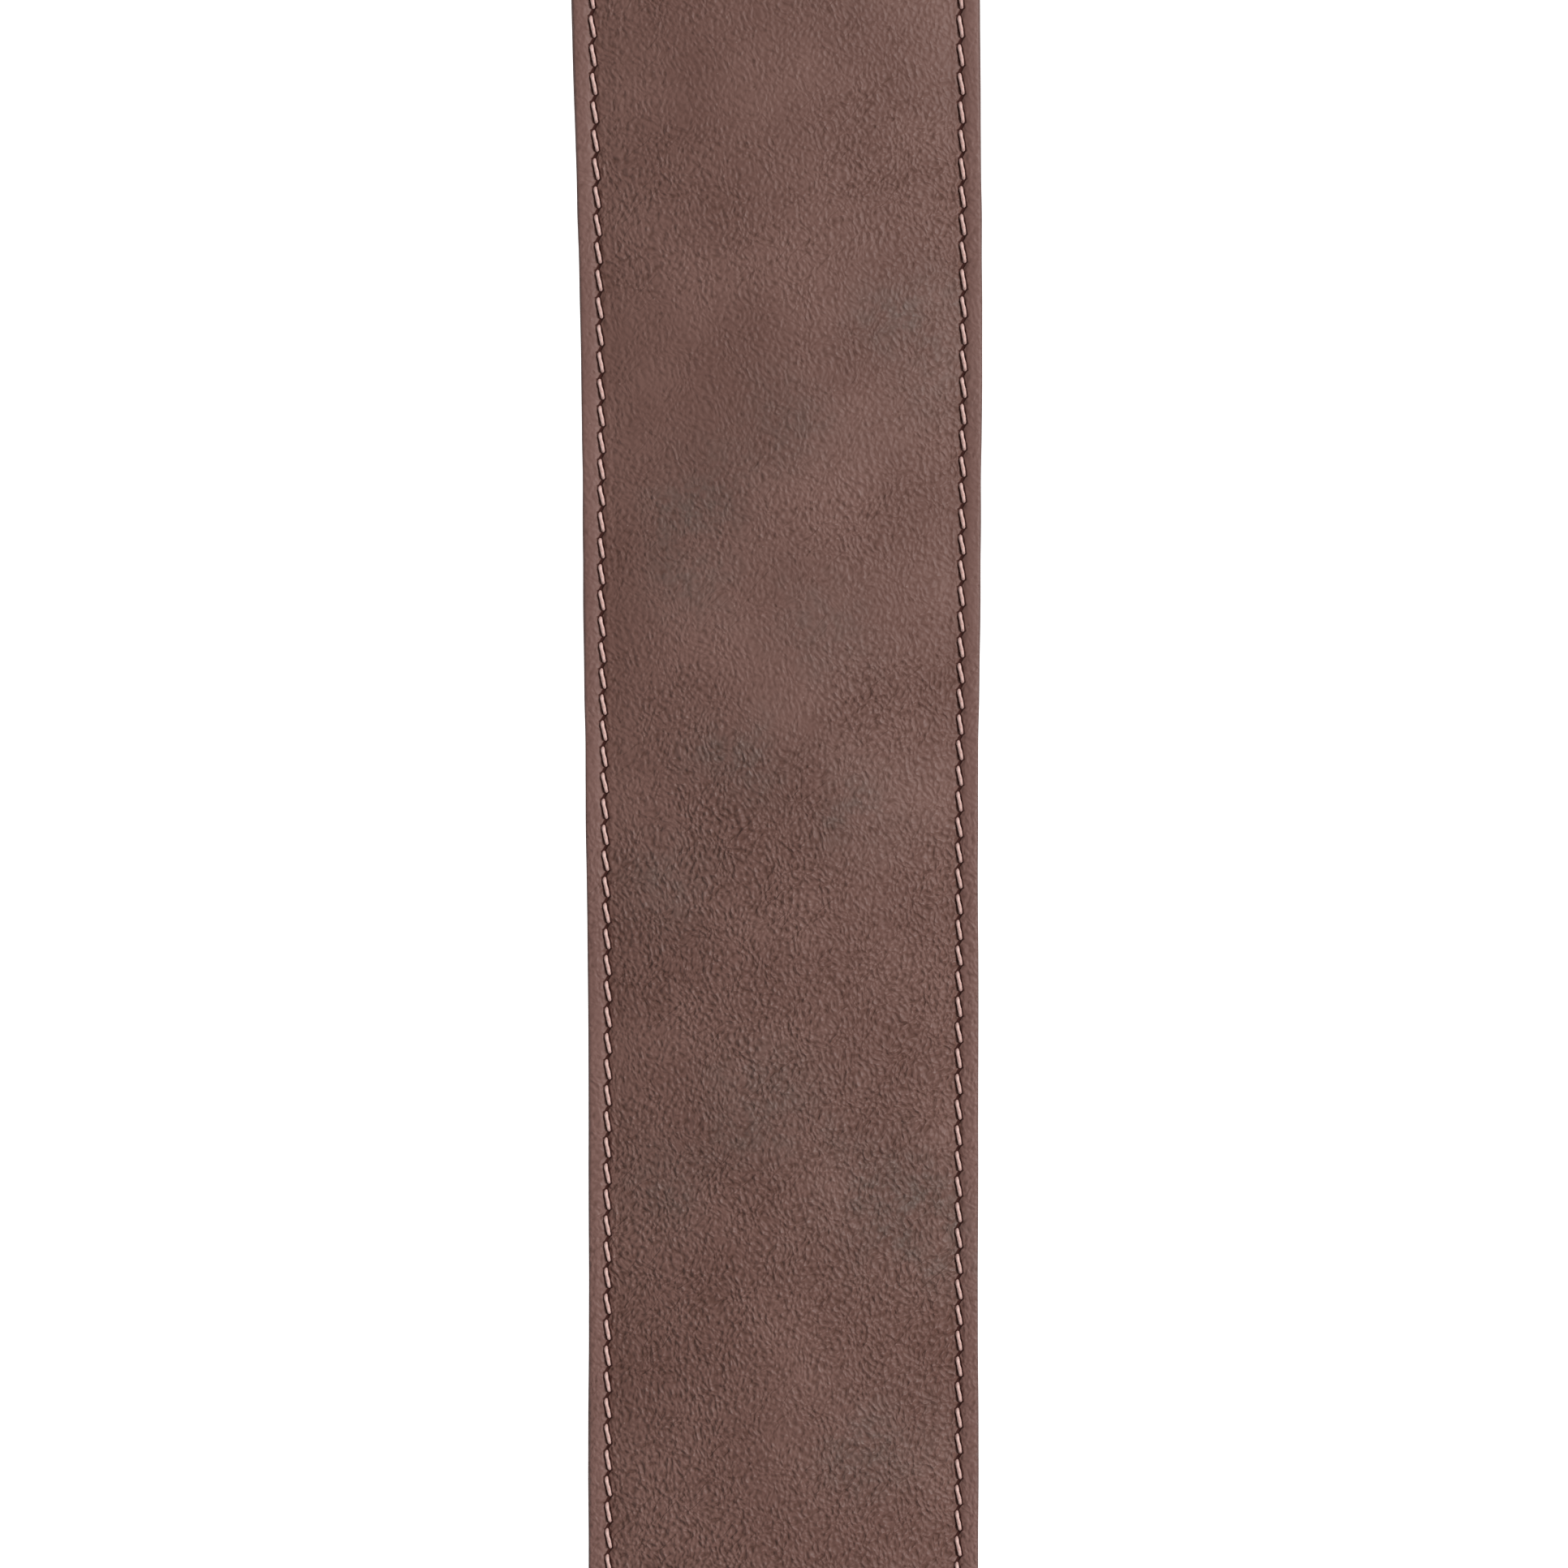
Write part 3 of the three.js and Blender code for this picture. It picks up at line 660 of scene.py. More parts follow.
def weave():
    """Heavy webbing: chevrons of filling yarn across each lengthwise rib."""
    s = Shader("webbing", Specular_IOR_Level=0.22, Sheen_Weight=0.06, Sheen_Roughness=0.4)
    flat = s.flat_mm()
    across, along, _ = s.parts(flat)
    from_rib = abs(s.math("FRACT", across / RIB_PITCH + 0.5) - 0.5) * RIB_PITCH
    yarn = abs(s.math("SINE", (along + from_rib * 0.95) / 0.92 * math.pi))
    rib = s.ramp(from_rib, RIB_PITCH / 2, RIB_PITCH / 2 - 0.35)
    fuzz = s.noise(flat, 3.5, 3.0, 0.7)
    height = yarn**0.7 * rib + fuzz * 0.22
    worn = s.noise(flat, 0.05, 2.0)
    base = s.blend(s.ramp(height, 0.15, 0.95), 0x1A0F0B, 0x473026)
    base = s.blend(s.ramp(worn, 0.5, 0.75, 0.0, 0.25), base, 0x563D30)
    return s.finish(base, s.ramp(height, 0.0, 1.0, 0.95, 0.74), height, 0.2)


def metal(name, tint, rough):
    """Satin plated metal: fine rubbing marks and cloudy roughness."""
    s = Shader(name, Metallic=1.0)
    own = s.solid_mm()
    rub = s.noise(s.placed(own, 8, (0.25, 4.0, 1.0)), 1.4, 3.0, 0.65)
    haze = s.noise(own, 0.22, 3.0, 0.6)
    base = s.blend(s.ramp(haze, 0.35, 0.7), tint, 0xA8A49A)
    clouded = s.ramp(haze, 0.3, 0.7, rough - 0.05, rough + 0.09)
    return s.finish(base, clouded + rub * 0.08, rub + haze * 0.5, 0.012)


NICKEL = metal("satin_nickel", 0xBDB8AE, 0.3)
LOOKS = {
    "face_leather": face_leather(),
    "foam": foam(),
    "suede": suede(),
    "face_thread": thread("face_thread", 0xE9C7BF, 0xC79F96),
    "back_thread": thread("back_thread", 0x8A6A5E, 0x5C4238),
    "tab_leather": thick_leather("tab_leather", 0x4E3229, 0x3E261F, 0.5),
    "keeper_leather": thick_leather("keeper_leather", 0x4A2F27, 0x3A241D, 0.52),
    "webbing": weave(),
    "rivet_metal": NICKEL,
    "ring_metal": NICKEL,
    "slider_metal": NICKEL,
}

# ---- the padded panel


def side_half(y):
    """Half width of the panel between its corners."""
    wide = REAR_HALF + (SHOULDER_HALF - REAR_HALF) * smoothstep(y, *SHOULDER)
    return wide - (SHOULDER_HALF - FRONT_HALF) * smoothstep(y, PANEL_FRONT - TAPER_LENGTH, PANEL_FRONT)


FRONT_CENTRE = (side_half(PANEL_FRONT - FRONT_CORNER) - FRONT_CORNER, PANEL_FRONT - FRONT_CORNER)
REAR_CENTRE = (side_half(PANEL_REAR + REAR_CORNER) - REAR_CORNER, PANEL_REAR + REAR_CORNER)
CORNERS = ((FRONT_CENTRE, FRONT_CORNER, 1), (REAR_CENTRE, REAR_CORNER, -1))


def panel_half(y):
    """Half width of the panel anywhere along it, its rounded corners included."""
    half = side_half(y)
    for (across, along), radius, sign in CORNERS:
        past = np.clip((y - along) * sign, 0, radius)
        half = np.where(past > 0, across + np.sqrt(radius**2 - past**2), half)
    return half


def panel_middle(y):
    """The panel lies very slightly bowed to its left round its shoulder."""
    bow = 0.25 * smoothstep(y, 85, 125) + 1.15 * smoothstep(y, 185, 272)
    return -bow * (1 - smoothstep(y, 300, 470)) - 0.1


def panel_inset(x, y):
    """Distance inside the panel's cut edge."""
    x = np.abs(x)
    inset = np.minimum(panel_half(y) - x, np.minimum(PANEL_FRONT - y, y - PANEL_REAR))
    for (across, along), radius, sign in CORNERS:
        out_x, out_y = x - across, (y - along) * sign
        inset = np.where((out_x > 0) & (out_y > 0), radius - np.hypot(out_x, out_y), inset)
    return inset


SEAM_FRONT = FRONT_CORNER - SEAM_INSET  # radii of the seam's own corners
SEAM_REAR = REAR_CORNER - SEAM_INSET
SEAM_SIDE_START = REAR_CENTRE[1] - FRONT_CENTRE[1]  # seam lengths are counted from the front corner
SEAM_START = SEAM_SIDE_START - SEAM_REAR * math.pi / 2
SEAM_ARC_END = SEAM_FRONT * math.pi / 2
SEAM_END = SEAM_ARC_END + FRONT_CENTRE[0]


def seam_drift(side, y):
    """How far a row of stitches wanders inwards along the panel's straight side."""
    straight = smoothstep(y, PANEL_REAR + 15, PANEL_REAR + 40) * smoothstep(PANEL_FRONT - y, 60, 90)
    return SEAM_DRIFT * straight * np.where(side < 0, wobble(y, 31, 17), wobble(y, 37, 18))


def seam_length(x, y):
    """How far along its seam a place near the panel's edge is."""
    x = np.abs(x)
    length = y - FRONT_CENTRE[1]
    front = SEAM_FRONT * np.arctan2(y - FRONT_CENTRE[1], np.maximum(x - FRONT_CENTRE[0], 1e-6))
    front = np.where(x < FRONT_CENTRE[0], SEAM_ARC_END + FRONT_CENTRE[0] - x, front)
    length = np.where(y > FRONT_CENTRE[1], front, length)
    rear = SEAM_REAR * np.arctan2(REAR_CENTRE[1] - y, np.maximum(x - REAR_CENTRE[0], 1e-6))
    return np.where(y < REAR_CENTRE[1], SEAM_SIDE_START - rear, length)


def seam_point(length, side):
    """The place on the seam of one side (-1 left, 1 right) at a length along it."""
    if length > SEAM_ARC_END:
        x, y = FRONT_CENTRE[0] - (length - SEAM_ARC_END), PANEL_FRONT - SEAM_INSET
    elif length > 0:
        turn = length / SEAM_FRONT
        x = FRONT_CENTRE[0] + SEAM_FRONT * math.cos(turn)
        y = FRONT_CENTRE[1] + SEAM_FRONT * math.sin(turn)
    elif length > SEAM_SIDE_START:
        y = FRONT_CENTRE[1] + length
        x = float(side_half(y) - SEAM_INSET - seam_drift(side, y))
    else:
        turn = (SEAM_SIDE_START - length) / SEAM_REAR
        x = REAR_CENTRE[0] + SEAM_REAR * math.cos(turn)
        y = REAR_CENTRE[1] - SEAM_REAR * math.sin(turn)
    return np.array([side * x, y])


SEAM_STEPS = np.linspace(SEAM_START, SEAM_END, 8000)


def counted_stitches(side):
    """Stitches counted back from the middle of the front edge, at each of the seam's steps."""
    base = STITCH_PITCH[side]
    pitch = base + (SHOULDER_PITCH - base) * smoothstep(FRONT_CENTRE[1] + SEAM_STEPS, *PITCH_CHANGE)
    counted = running(np.diff(SEAM_STEPS) / pitch[1:])
    return counted - counted[-1]


STITCH_COUNTS = {side: counted_stitches(side) for side in (-1, 1)}


def stitch_phase(x, length):
    """How many stitches back from the front edge: whole numbers are needle holes."""
    left, right = (np.interp(length, SEAM_STEPS, STITCH_COUNTS[side]) for side in (-1, 1))
    return np.where(x < 0, left, right)


def sewn_share(x, length):
    """1 where a row has stitches, and 0 past its last needle hole."""
    phase = stitch_phase(x, length)
    last = np.where(x < 0, *(math.ceil(STITCH_COUNTS[side][0]) for side in (-1, 1)))
    return smoothstep(phase, last - 0.15, last + 0.05)


def from_seam(x, y):
    """Signed distance inside a row of stitches."""
    return panel_inset(x, y) - SEAM_INSET - seam_drift(np.sign(x), y)


FRONT_BOX = (12.5, 12.5, PANEL_FRONT - 21)  # half sizes and middle of each sewn box
REAR_BOX = (18.0, 13.0, PANEL_REAR + 18)

# Creases of the soft face where it has been bent: middle x and y, direction in degrees, length, depth.
CREASES = [
    (10.5, 161, 41, 20, 0.17), (6, 176, 48, 9, 0.15), (-14, 65, 31, 16, 0.15), (13, 75.5, 19, 24, 0.14),
    (5.5, 42, 48, 8, 0.14), (17, 40, 41, 10, 0.13), (-9, 206, 4, 18, 0.08), (-16, 199, 8, 14, 0.07),
    (20, 84, 62, 9, 0.1), (-4, 96, 55, 10, 0.1), (14, 140, 38, 12, 0.11), (-12, 28, 60, 9, 0.1),
    (-2, 121, 60, 9, 0.1), (8, 18, 34, 13, 0.12), (22, 150, 30, 8, 0.09), (-20, 44, 38, 8, 0.09),
]
HAND_SPAN = (-4.0, 256.0)  # the listed creases and clouds lie between these two places

# Grey clouds on the face: middle x and y, radius, strength.
CLOUDS = [
    (-11, 171, 8, 0.9), (21, 201, 7, 0.9), (-8.6, 131, 7, 0.7), (12, 123, 8, 0.7), (-19, 109, 8, 0.6),
    (-2, 75, 9, 0.9), (17, 59, 10, 1.0), (15, 20, 9, 0.8), (-15, 158, 7, 0.6), (27, 188, 6, 0.5),
    (-19, 62, 7, 0.6), (28, 52, 7, 0.8), (5, 150, 8, 0.5), (1, 186, 9, 0.4),
]


def scattered(count, seed):
    """Seeded places along the rest of the panel, outside the stretch that is listed one by one."""
    random = np.random.default_rng(seed)
    places = []
    while len(places) < count:
        y = random.uniform(PANEL_REAR + 45, PANEL_FRONT - 45)
        if not HAND_SPAN[0] < y < HAND_SPAN[1]:
            places.append((random.uniform(-22, 22), y, random.uniform(0, 1), random.uniform(0, 1)))
    return places


ALL_CREASES = CREASES + [(x, y, 12 + 55 * a, 7 + 14 * b, 0.08 + 0.08 * a) for x, y, a, b in scattered(34, 3)]
ALL_CLOUDS = CLOUDS + [(x, y, 6 + 6 * a, 0.4 + 0.6 * b) for x, y, a, b in scattered(30, 5)]


def box_distance(x, y, box):
    """Distance from the line of a sewn box."""
    half_x, half_y, middle = box
    out_x, out_y = np.abs(x) - half_x, np.abs(y - middle) - half_y
    outside = np.hypot(np.maximum(out_x, 0), np.maximum(out_y, 0))
    return np.abs(outside + np.minimum(np.maximum(out_x, out_y), 0))


def coarseness(x, y):
    """How far the fine pebbles give way to long ridges, from 0 to 1: most towards the panel's rear."""
    bent = 0.25 + 0.6 * smoothstep(-y, -175, -60) + 0.35 * lumps(x, y, 14, 21)
    return np.clip(np.where(y > HAND_SPAN[1], 0.35 + 0.5 * lumps(x, y, 30, 22), bent), 0, 1)


def pad_share(x, y):
    """How much of its full height the padding has, from its start inside the seam to its middle."""
    share = np.clip((side_half(y) - np.abs(x) - PAD_START) / PAD_RUN, 0, 1)
    from_end = np.minimum(PANEL_FRONT - y, y - PANEL_REAR)
    along, at_ends = PAD_FULLNESS
    return 1 - (1 - share) ** (at_ends + (along - at_ends) * smoothstep(from_end, 38, 78))


def face_height(x, y):
    """Top of the face leather. x is measured from the panel's own middle line."""
    inset = panel_inset(x, y)
    side_inset = side_half(y) - np.abs(x)
    padded = pad_share(x, y) * smoothstep(side_inset, PAD_START - 0.4, PAD_START + 2.4)
    height = BORDER_TOP + (PAD_TOP - BORDER_TOP) * padded

    inside = smoothstep(side_inset, 5, 11)
    height += inside * (0.11 * lumps(x, y, 17, 8) + 0.05 * lumps(x, y, 6.5, 9) * coarseness(x, y))

    inwards = from_seam(x, y)
    sewn = seam_length(x, y)
    beat = np.cos(2 * np.pi * stitch_phase(x, sewn))
    groove = 0.32 * bell(inwards, 0.62) + 0.16 * bell(inwards, 0.8) * (0.5 + 0.5 * beat)
    reach = np.where(inwards > 0, 2.6, 1.1)
    pucker = 0.07 * (0.6 + 0.4 * wobble(sewn, 9, 14)) * beat * np.exp(-np.abs(inwards) / reach)
    height -= (groove + pucker) * sewn_share(x, sewn)

    for box in (FRONT_BOX, REAR_BOX):
        height -= 0.3 * bell(box_distance(x, y, box), 1.1)
    for place in RIVETS.values():
        height -= 0.35 * bell(np.hypot(x - place[0], y - place[1]) - RIVET_CAP, 1.6)
    for cx, cy, turn, length, depth in ALL_CREASES:
        dx, dy = x - cx, y - cy
        c, s = math.cos(math.radians(turn)), math.sin(math.radians(turn))
        along, across = dx * c + dy * s, dy * c - dx * s
        across = across + 0.9 * wobble(along + 10 * cx, 5, 31)
        near = smoothstep(length / 2 - np.abs(along), 0, length / 4)
        height -= near * depth * (bell(across, 0.75) - 0.35 * bell(across - 1.6, 0.9)) * inside
    return height - rounded_edge(inset, EDGE_ROUND)


def face_underside(x, y):
    inset = panel_inset(x, y)
    lifted = BORDER_TOP + (PAD_TOP - BORDER_TOP) * pad_share(x, y) - FACE_LEATHER
    return np.maximum(CORE_LOW, lifted - 0.35 * smoothstep(inset, 4, 9))


def mirrored(insets, half):
    """Columns as shares of the half width, from insets inside the edge, the same on both sides."""
    shares = 1 - np.asarray(insets) / half
    return np.concatenate([-shares, shares[::-1]])


def face_columns():
    insets = [0, 0.12, 0.3, 0.6, 1.2, 1.8, *np.arange(2.3, 4.3, 0.24), *np.arange(4.5, 9.2, 0.5),
              *np.linspace(9.6, REAR_HALF - 0.36, 31)]
    return mirrored(insets, REAR_HALF)


def panel_rows(step):
    """Rows along the panel, close together at its two ends, where the corners turn."""
    near_end = 3.0 * np.linspace(0, 1, 12) ** 2
    middle = np.arange(PANEL_REAR + 3 + step / 2, PANEL_FRONT - 3 - step / 2, step)
    return np.concatenate([PANEL_REAR + near_end, middle, (PANEL_FRONT - near_end)[::-1]])


def hand_cut(y):
    """The cut edge's wobble, which the face and the backing share."""
    return (0.1 * wobble(y, 22, 4) + 0.05 * wobble(y, 7, 6)) * smoothstep(PANEL_FRONT - y, 0, 30)


def make_face():
    face = flat_sheet("face_panel", panel_rows(0.97), lambda y: panel_half(y) + hand_cut(y),
                      face_columns(), np.linspace(-1, 1, 9), face_height, face_underside, panel_middle)

    def local(value):
        """The same value, with x measured from the panel's own middle line."""
        return lambda x, y: value(x - panel_middle(y), y)

    def clouds(x, y):
        dx, dy = x - panel_middle(y) + 3 * lumps(x, y, 9, 41), y + 3 * lumps(x, y, 9, 42)
        total = sum(a * bell(np.hypot(dx - cx, dy - cy), r) for cx, cy, r, a in ALL_CLOUDS)
        return np.clip(total * (0.75 + 0.5 * lumps(x, y, 4, 43)), 0, 1)

    beside = local(lambda x, y: -from_seam(x, y) * np.sign(x))
    phase = local(lambda x, y: stitch_phase(x, seam_length(x, y)))
    sewn = local(lambda x, y: sewn_share(x, seam_length(x, y)) * (np.abs(x) > 0.8))
    paint(face, "seam", beside, phase, local(panel_inset))
    paint(face, "look", clouds, coarseness, sewn)
    keep(face, "main_strap", "face_leather", "front_leather")
    declare_sheet(face, *PANEL_SIZE, "stretched", "foam_core", "suede_backing")


def make_backing():
    def top(x, y):
        return np.full_like(x, BACKING_TOP) - rounded_edge(panel_inset(x, y), 0.2)

    def low(x, y):
        groove = 0.52 * bell(from_seam(x, y), 0.75)
        pillow = 0.04 * (1 + lumps(x, y, 13, 51)) * smoothstep(panel_inset(x, y), 4, 12)
        return groove + pillow + rounded_edge(panel_inset(x, y), 0.3)

    insets = [0, 0.12, 0.3, 0.9, 1.6, *np.arange(2.2, 4.4, 0.3), 5.2, *np.linspace(6.5, REAR_HALF - 1, 13)]
    backing = flat_sheet("suede_backing", panel_rows(1.6), lambda y: panel_half(y) - 0.12 + hand_cut(y),
                         np.linspace(-1, 1, 25), mirrored(insets, REAR_HALF), top, low, panel_middle)
    keep(backing, "main_strap", "suede", "backing")
    declare_sheet(backing, *PANEL_SIZE, "laid", "floor")


def make_foam():
    low_y, high_y = (corner[1] for corner in box_mm("foam_pad"))
    inset = SEAM_INSET + 3.4

    def top(x, y):
        under_face = np.maximum(face_underside(x, y) - 0.08, CORE_LOW + 0.3)
        return under_face - rounded_edge(side_half(y) - inset - abs(x), 0.5)

    core = flat_sheet("foam_core", np.linspace(low_y, high_y, 300), lambda y: side_half(y) - inset,
                      np.linspace(-1, 1, 41), np.linspace(-1, 1, 21), top,
                      lambda x, y: np.full_like(x, CORE_LOW), panel_middle)
    keep(core, "main_strap", "foam", "foam_pad")


# ---- stitches

THREAD_RADIUS = 0.285


def stitch_line(centre, heading, surface, reach, lean, up=1):
    """The middle line of one stitch: it rises out of one hole, leans, and goes down the next."""
    right = np.array([heading[1], -heading[0]])
    line = []
    for t in np.linspace(-1, 1, 13):
        aside = -lean * t - 0.15 * lean * math.sin(math.pi * t)
        x, y = centre + heading * reach * t + right * aside
        sunk = 0.12 - 1.2 * float(smoothstep(abs(t), 0.6, 0.98))
        line.append((x, y, surface + up * sunk))
    return line


def seam_row(name, side, surface_of, lean, up=1):
    """All the stitches of one long seam, from the keeper round the panel's front corner."""
    lines = []
    counts = STITCH_COUNTS[side]
    for k in range(math.floor(-counts[0])):
        ends = np.interp([-k - 1, -k], counts, SEAM_STEPS)
        length, pitch = ends.mean(), ends[1] - ends[0]
        before, centre, after = (seam_point(length + d, side) for d in (-0.5, 0, 0.5))
        heading = (after - before) / np.linalg.norm(after - before)
        surface = float(surface_of(centre[:1], centre[1:])[0])
        placed = centre + np.array([float(panel_middle(centre[1])), 0])
        vary = 1 + 0.12 * float(wobble(k, 1, 61 + side))
        lines.append(stitch_line(placed, heading, surface, pitch * 0.42, lean * vary, up))
    return tube(name, lines, THREAD_RADIUS, 10, plies=2, turns=2.5)


def path_row(name, path, pitch, surface_of, lean=0.12):
    """Stitches along a closed path of (x, y) points."""
    path = np.asarray(path, float)
    loop = np.vstack([path, path[:1]])
    along = running(steps_of(loop))
    count = round(along[-1] / pitch)
    lines = []

    def at(length):
        length = length % along[-1]
        return np.array([np.interp(length, along, loop[:, k]) for k in range(2)])

    for k in range(count):
        length = (k + 0.5) * along[-1] / count
        centre = at(length)
        heading = at(length + 0.4) - at(length - 0.4)
        heading /= np.linalg.norm(heading)
        surface = float(surface_of(centre[:1], centre[1:])[0])
        lines.append(stitch_line(centre, heading, surface, along[-1] / count * 0.46, lean))
    return tube(name, lines, THREAD_RADIUS, 10, plies=2, turns=2.0)


def box_path(box):
    """The four corners of a sewn box."""
    half_x, half_y, middle = box
    return [(sx * half_x, middle + sy * half_y) for sx, sy in ((-1, -1), (1, -1), (1, 1), (-1, 1))]


def make_seams():
    on_face = lambda x, y: face_height(x, y) + 0.2
    on_back = lambda x, y: np.full_like(x, 0.5)
    for name, side in (("left", -1), ("right", 1)):
        front = seam_row(f"face_stitches_{name}", side, on_face, LEAN)
        keep(front, "main_strap", "face_thread", f"front_seam_{name}")
        back = seam_row(f"back_stitches_{name}", side, on_back, 0.1, -1)
        keep(back, "main_strap", "back_thread", f"back_seam_{name}")
    for end, box in (("front", FRONT_BOX), ("rear", REAR_BOX)):
        row = path_row(f"{end}_box_stitches", box_path(box), 4.2, lambda x, y: face_height(x, y) + 0.15)
        keep(row, "main_strap", "face_thread", f"{end}_box_stitch")


# ---- tabs of thick leather


def keyhole(y, towards, low, high):
    """A solid to cut a button hole with: a round hole and its slit, which runs up (1) or down (-1)."""
    half, length = SLIT
    start = math.asin(half / BUTTON_HOLE)
    angles = np.linspace(start, 2 * math.pi - start, 48)
    outline = [(BUTTON_HOLE * math.sin(a), towards * BUTTON_HOLE * math.cos(a)) for a in angles]
    outline += [(-half, towards * length), (half, towards * length)]
    if towards > 0:
        outline = outline[::-1]
    count = len(outline)
    points = [(x, y + dy, z) for z in (low, high) for x, dy in outline]
    faces = [list(range(count))[::-1], list(range(count, 2 * count))]
    for i in range(count):
        k = (i + 1) % count
        faces.append([k, count + k, count + i, i])
    return new_mesh("cutter", points, faces)


def hole_distance(x, y, centre, towards):
    """Distance outside a button hole and its slit."""
    along = (y - centre) * towards
    slit = np.hypot(np.abs(x), np.maximum(np.abs(along - SLIT[1] / 2) - SLIT[1] / 2, 0)) - SLIT[0]
    return np.minimum(np.hypot(x, along) - BUTTON_HOLE, slit)


def hole_wear(x, y, centre, towards, reach):
    """1 at the rim of a button hole, fading over its reach."""
    return bell(np.maximum(hole_distance(x, y, centre, towards), 0), reach)


def tip_rows(start, tip, sign, steps):
    """Rows round a half-round tip, closer together as its edge turns."""
    centre = tip - sign * TAB_HALF
    turns = np.radians(np.linspace(0, 88, steps))
    rows = centre + sign * TAB_HALF * np.sin(turns)
    straight = np.arange(start, centre - sign * 0.4, sign * 0.9)
    return np.sort(np.concatenate([straight, rows]))


TAB_INSETS = [0, 0.15, 0.35, 0.6, 1.0, 1.6, 2.2, 2.8, 3.4, 4.0, *np.linspace(4.8, 16.6, 16)]
TAB_COLUMNS = mirrored(TAB_INSETS, TAB_HALF)


def tab_half(past, wide):
    """Half width of a tab at a distance past its tip's centre; before it, wide."""
    return np.where(past > 0, np.sqrt(TAB_HALF**2 - np.clip(past, 0, TAB_HALF) ** 2), wide)


def tab_inset(x, past, wide):
    """Distance inside a tab's sides and its round tip."""
    return np.where(past > 0, TAB_HALF - np.hypot(x, past), wide - np.abs(x))


def make_front_tab():
    root = PANEL_FRONT - ROOT_LENGTH
    centre = TAB_TIP - TAB_HALF
    half = lambda y: tab_half(y - centre, TAB_HALF)
    inset = lambda x, y: tab_inset(x, y - centre, TAB_HALF)

    def top(x, y):
        worn = 0.22 * hole_wear(x, y, centre, -1, 0.8)
        line = 0.16 * bell(inset(x, y) - 2.6, 0.4) * smoothstep(y, PANEL_FRONT + 1, PANEL_FRONT + 4)
        soft = 0.05 * lumps(x, y, 8, 71)
        return CORE_HIGH - 0.05 + soft - worn - line - rounded_edge(inset(x, y), 0.8)

    def low(x, y):
        worn = 0.15 * hole_wear(x, y, centre, -1, 0.6)
        return CORE_LOW + 0.04 * (1 + lumps(x, y, 8, 72)) + worn + rounded_edge(inset(x, y), 0.8)

    bend = np.arange(PANEL_FRONT - 0.6, PANEL_FRONT + FLEX_GAP + 0.7, 0.25)
    rows = tip_rows(root, TAB_TIP, 1, 26)
    rows = np.sort(np.concatenate([rows[(rows < bend[0] - 0.2) | (rows > bend[-1] + 0.2)], bend]))
    tab = flat_sheet("button_tab", rows, half, TAB_COLUMNS, TAB_COLUMNS, top, low)
    cut_away(tab, keyhole(centre, -1, CORE_LOW - 2, CORE_HIGH + 2))
    paint(tab, "edge", lambda x, y: np.minimum(inset(x, y), hole_distance(x, y, centre, -1)))
    keep(tab, ("main_strap", "front_tab", PANEL_FRONT, PANEL_FRONT + FLEX_GAP), "tab_leather",
         "front_tab_root", "front_tab")
    declare_sheet(tab, 2 * TAB_HALF, TAB_TIP - root, "stretched", "face_panel")


